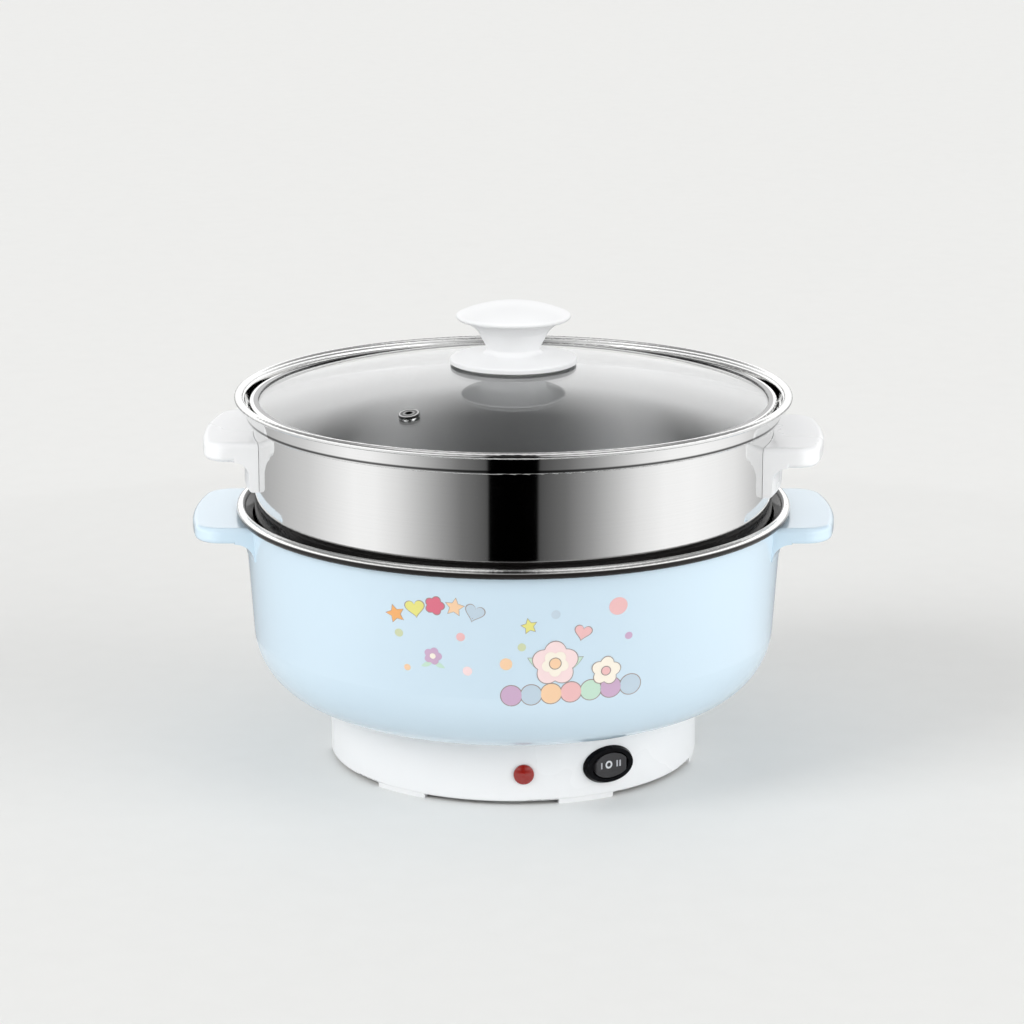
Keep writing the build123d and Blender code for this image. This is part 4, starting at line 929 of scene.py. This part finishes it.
def switch_marks():
    longest = 1.2 * MM
    ring_index, bar_index = 0, 1
    mesh = bmesh.new()
    bar_height, bar_width = 3.2 * MM, 0.8 * MM
    side_place, half_gap = 4.9 * MM, 0.8 * MM
    for x in (-side_place, side_place - half_gap, side_place + half_gap):
        add_outline(
            mesh, bar(x, bar_width, bar_height), on_rocker, layer_lift, bar_index, longest)
    ring_middle, ring_radius, line_width = -0.6 * MM, 2.0 * MM, 0.9 * MM
    steps = 24
    for i in range(steps):
        angles = (2 * math.pi * i / steps, 2 * math.pi * (i + 1) / steps)
        outer = [ring_point(ring_middle, ring_radius, angle) for angle in angles]
        inner = [
            ring_point(ring_middle, ring_radius - line_width, angle) for angle in reversed(angles)]
        add_outline(mesh, outer + inner, on_rocker, layer_lift, ring_index, longest)
    ring_ink = plastic("ring_ink", (0.70, 0.71, 0.73), (0.60, 0.61, 0.63), 0.35, bump=0.1)
    bar_ink = plastic("bar_ink", (0.46, 0.46, 0.49), (0.38, 0.38, 0.41), 0.35, bump=0.1)
    return finish_piece("switch_marks", mesh, [ring_ink, bar_ink], "rocker")


marks = switch_marks()
print("mark triangles:", len(marks.data.polygons))

# %% [markdown]
# ## Studio: floor
# The floor is one large pale sheet, painted matt, so the pot's shadow lies on it softly. It is
# stage, not a part of the pot.

# %% Floor
def make_floor():
    half_size = 15.0
    floor_color = (0.81, 0.81, 0.795)
    mesh = bmesh.new()
    bmesh.ops.create_grid(mesh, x_segments=2, y_segments=2, size=half_size)
    material, tree, shader = new_material("floor_paint", floor_color, roughness=0.7)
    add_effect(
        tree, shader, speckle_group, bump_strength=0.05, bump_distance=0.5 * MM,
        Color=(*floor_color, 1.0), Shade=(0.79, 0.79, 0.775, 1.0), Grain_Scale=60.0,
        Roughness=0.65, Roughness_Range=0.1)
    floor = mesh_object("floor", mesh, [material])
    return floor


print("floor:", [round(v, 1) for v in make_floor().dimensions])

# %% [markdown]
# ## Studio: sky
# Both the sky and the reflector below change with the direction around the pot. One group turns a
# place into that direction: 0 straight in front, 1 straight behind, and the same on both sides.

# %% Group: turn from the front
def build_turn_group():
    group, given, result = new_group(
        "Turn From Front", [("Place", VECTOR, (0, 0, 0))], [("Turn", VALUE)])
    x, y, _ = split_place(group, given.outputs["Place"])
    ahead = math_node(group, "MULTIPLY", y, -1.0)
    angle = math_node(group, "ABSOLUTE", math_node(group, "ARCTAN2", x, ahead))
    group.links.new(math_node(group, "DIVIDE", angle, math.pi), result.inputs["Turn"])
    return group


turn_group = build_turn_group()
half_turn = 180.0


def turn_node(tree, place):
    """The turn of a place around the pot, from 0 in front to 1 behind."""
    node = tree.nodes.new("ShaderNodeGroup")
    node.node_tree = turn_group
    tree.links.new(place, node.inputs["Place"])
    return node.outputs["Turn"]


print("group:", turn_group.name)

# %% [markdown]
# The sky has three faces. Matt surfaces get an even light that is a little weaker in front, where
# the black card stands. The camera sees the pale tone of the floor. Gloss and glass see a studio:
# a white backdrop low down, then a dimmer ceiling with light strips that run from front to back,
# and a pale patch straight overhead for the tops of the mouldings. That sky gives the lid its
# bright back and its dark front.

# %% What gloss sees of the sky
backdrop_by_height = [
    (0.0, 0.95), (0.06, 1.0), (0.22, 1.35), (0.38, 1.35), (0.46, 1.0), (0.56, 0.75), (0.70, 0.55),
    (0.80, 0.55), (0.92, 0.90), (1.0, 0.90)]
strips_by_slope = [
    (0.0, 0.25), (0.08, 0.32), (0.17, 0.75), (0.23, 1.0), (0.29, 0.80), (0.34, 0.45), (0.40, 0.45),
    (0.46, 0.85), (0.52, 0.75), (0.60, 0.55), (1.0, 0.45)]
front_card_by_degree = [
    (0.0, 0.03), (9.4, 0.03), (12.0, 0.30), (20.0, 0.55), (32.0, 0.82), (48.0, 1.0)]
ceiling_start, ceiling_end = (0.40, 0.56), (0.80, 0.90)
lowest_height = 0.05


def gloss_sky(tree, place, turn):
    """Product of the backdrop, the ceiling's strips and the black card in front."""
    x, _, height = split_place(tree, place)
    backdrop = gray_ramp(tree, height, backdrop_by_height)
    side = math_node(tree, "ABSOLUTE", x)
    slope = math_node(tree, "DIVIDE", side, math_node(tree, "MAXIMUM", height, lowest_height))
    strips = gray_ramp(tree, slope, strips_by_slope)
    ceiling = math_node(
        tree, "SUBTRACT", ramp_between(tree, height, *ceiling_start),
        ramp_between(tree, height, *ceiling_end))
    front_card = gray_ramp(tree, turn, front_card_by_degree, half_turn)
    striped = blend_colors(tree, ceiling, white, strips)
    product = vector_node(tree, "MULTIPLY", backdrop, striped).outputs[0]
    return vector_node(tree, "MULTIPLY", product, front_card).outputs[0]


# %% World
def make_world():
    ambient_by_degree = [(0.0, 0.68), (15.0, 0.70), (60.0, 0.775), (180.0, 0.775)]
    horizon = (0.85, 0.85, 0.837, 1.0)
    world = bpy.data.worlds.new("studio")
    world.use_nodes = True
    tree = world.node_tree
    place = tree.nodes.new("ShaderNodeTexCoord").outputs["Generated"]
    turn = turn_node(tree, place)
    seen_in_gloss = gloss_sky(tree, place, turn)
    ambient = gray_ramp(tree, turn, ambient_by_degree, half_turn)
    path = tree.nodes.new("ShaderNodeLightPath")
    shiny = math_node(
        tree, "MAXIMUM", path.outputs["Is Glossy Ray"], path.outputs["Is Transmission Ray"])
    plain = blend_colors(tree, path.outputs["Is Camera Ray"], ambient, horizon)
    color = blend_colors(tree, shiny, plain, seen_in_gloss)
    tree.links.new(color, tree.nodes["Background"].inputs["Color"])
    bpy.context.scene.world = world
    return world


print("world nodes:", len(make_world().node_tree.nodes))

# %% [markdown]
# ## Studio: lamps
# One soft lamp stands high on the left and gives the shadow that falls to the right. Another
# fills from the right, lower down and wider, so that the handles keep their form. Both are suns
# with a wide disc: they are as bright far away as near the pot, so the floor stays even. Gloss
# doesn't see them. Three narrow spots lift the fronts of the handles and the neck of the knob.
# They stand low and point up a little, so that no patch of light falls on the floor behind.

# %% Lamps
def aim_lamp(name, data, power, place, target):
    """Lamp at a place that points at a target and isn't seen in gloss."""
    data.energy = power
    lamp = bpy.data.objects.new(name, data)
    lamp.location = place
    lamp.rotation_euler = (target - place).to_track_quat("-Z", "Y").to_euler()
    lamp.visible_glossy = False
    bpy.context.scene.collection.objects.link(lamp)
    return lamp


def soft_sun(name, direction, power, disc_degrees):
    data = bpy.data.lights.new(name, "SUN")
    data.angle = math.radians(disc_degrees)
    return aim_lamp(name, data, power, Vector(direction), Vector())


def low_spot(name, across, target, cone_degrees):
    """Narrow soft spot that stands low in front and points up a little at its target."""
    distance, height, size, softness, power = 1.2, 0.06, 0.06, 0.8, 13.0
    data = bpy.data.lights.new(name, "SPOT")
    data.shadow_soft_size = size
    data.spot_size = math.radians(cone_degrees)
    data.spot_blend = softness
    return aim_lamp(name, data, power, Vector((across, -distance, height)), target)


handle_across, handle_forward = 0.92 * cad_high.x, 0.03
handle_level = 0.99 * rim_top
spot_across = 0.26
lamps = [
    soft_sun("key_lamp", direction=(-1.5, -0.9, 1.15), power=1.17, disc_degrees=30.0),
    soft_sun("fill_lamp", direction=(1.8, -0.9, 0.60), power=1.20, disc_degrees=50.0),
]
for name, side in (("left_handle_spot", -1), ("right_handle_spot", 1)):
    handle_front = Vector((side * handle_across, -handle_forward, handle_level))
    lamps.append(low_spot(name, side * spot_across, handle_front, cone_degrees=6.4))
lamps.append(low_spot("knob_spot", 0.0, middle_of("lid_knob"), cone_degrees=5.0))
print("lamps:", [lamp.name for lamp in lamps])

# %% [markdown]
# ## Studio: reflector ring
# Mirror steel shows whatever stands around it. Studios surround such a pot with cards: a
# black one straight ahead, which draws the crisp dark stripe down the middle, and white ones
# at both sides that fade towards the back. One ring does the same here, and only gloss sees it.
# Its brightness depends on the angle around the pot, through a colour ramp for each side: the
# right card reaches further round than the left one. The ring runs on outwards over the floor, so
# the basket keeps its look when it is lifted, and its underside is clear.

# %% Reflector card
left_card_by_degree = [
    (0.0, 0.0), (9.4, 0.0), (9.9, 0.095), (20.0, 0.20), (28.0, 0.37), (36.0, 0.57), (46.0, 0.84),
    (56.0, 1.03), (66.0, 1.05), (78.0, 0.90), (92.0, 0.71), (120.0, 0.52), (140.0, 0.42),
    (180.0, 0.34)]
right_card_by_degree = [
    (0.0, 0.0), (9.4, 0.0), (9.9, 0.080), (20.0, 0.17), (30.0, 0.35), (40.0, 0.60), (50.0, 0.87),
    (62.0, 1.05), (76.0, 1.08), (90.0, 1.02), (103.0, 0.92), (120.0, 0.66), (140.0, 0.42),
    (180.0, 0.34)]


def card_material():
    material = bpy.data.materials.new("reflector_card")
    material.use_nodes = True
    tree = material.node_tree
    tree.nodes.remove(tree.nodes["Principled BSDF"])
    place = tree.nodes.new("ShaderNodeTexCoord").outputs["Object"]
    turn = turn_node(tree, place)
    cards = [
        gray_ramp(tree, turn, levels, half_turn)
        for levels in (left_card_by_degree, right_card_by_degree)]
    x, _, _ = split_place(tree, place)
    on_right = math_node(tree, "GREATER_THAN", x, 0.0)
    glow = tree.nodes.new("ShaderNodeEmission")
    tree.links.new(blend_colors(tree, on_right, *cards), glow.inputs["Color"])
    side = tree.nodes.new("ShaderNodeNewGeometry")
    clear = tree.nodes.new("ShaderNodeBsdfTransparent")
    output_mix(tree, side.outputs["Backfacing"], glow.outputs[0], clear.outputs[0])
    return material


# %% Reflector ring
def turned_rows(mesh, profile, steps):
    """Turn a profile of (radius, height) points around the axis, inside a bmesh."""
    rows = []
    for i in range(steps):
        angle = 2 * math.pi * i / steps
        rows.append([
            mesh.verts.new((radius * math.sin(angle), -radius * math.cos(angle), height))
            for radius, height in profile])
    for first, second in zip(rows, rows[1:] + rows[:1]):
        for a, b, c, d in zip(first, first[1:], second[1:], second):
            mesh.faces.new((a, b, c, d))


def make_reflector():
    inner, outer, far = 0.24, 0.62, 3.0
    off_floor, top = 2 * MM, 0.13
    mesh = bmesh.new()
    turned_rows(mesh, [(inner, off_floor), (outer, off_floor), (outer, top)], steps=96)
    turned_rows(mesh, [(outer, off_floor), (far, off_floor)], steps=96)
    ring = mesh_object("reflector", mesh, [card_material()])
    ring.visible_camera = False
    ring.visible_diffuse = False
    ring.visible_transmission = False
    ring.visible_shadow = False
    ring.visible_volume_scatter = False
    return ring


print("reflector faces:", len(make_reflector().data.polygons))

# %% [markdown]
# ## Colour transform
# The colour transform stays plain.

# %% Finish
bpy.context.scene.view_settings.view_transform = "Standard"
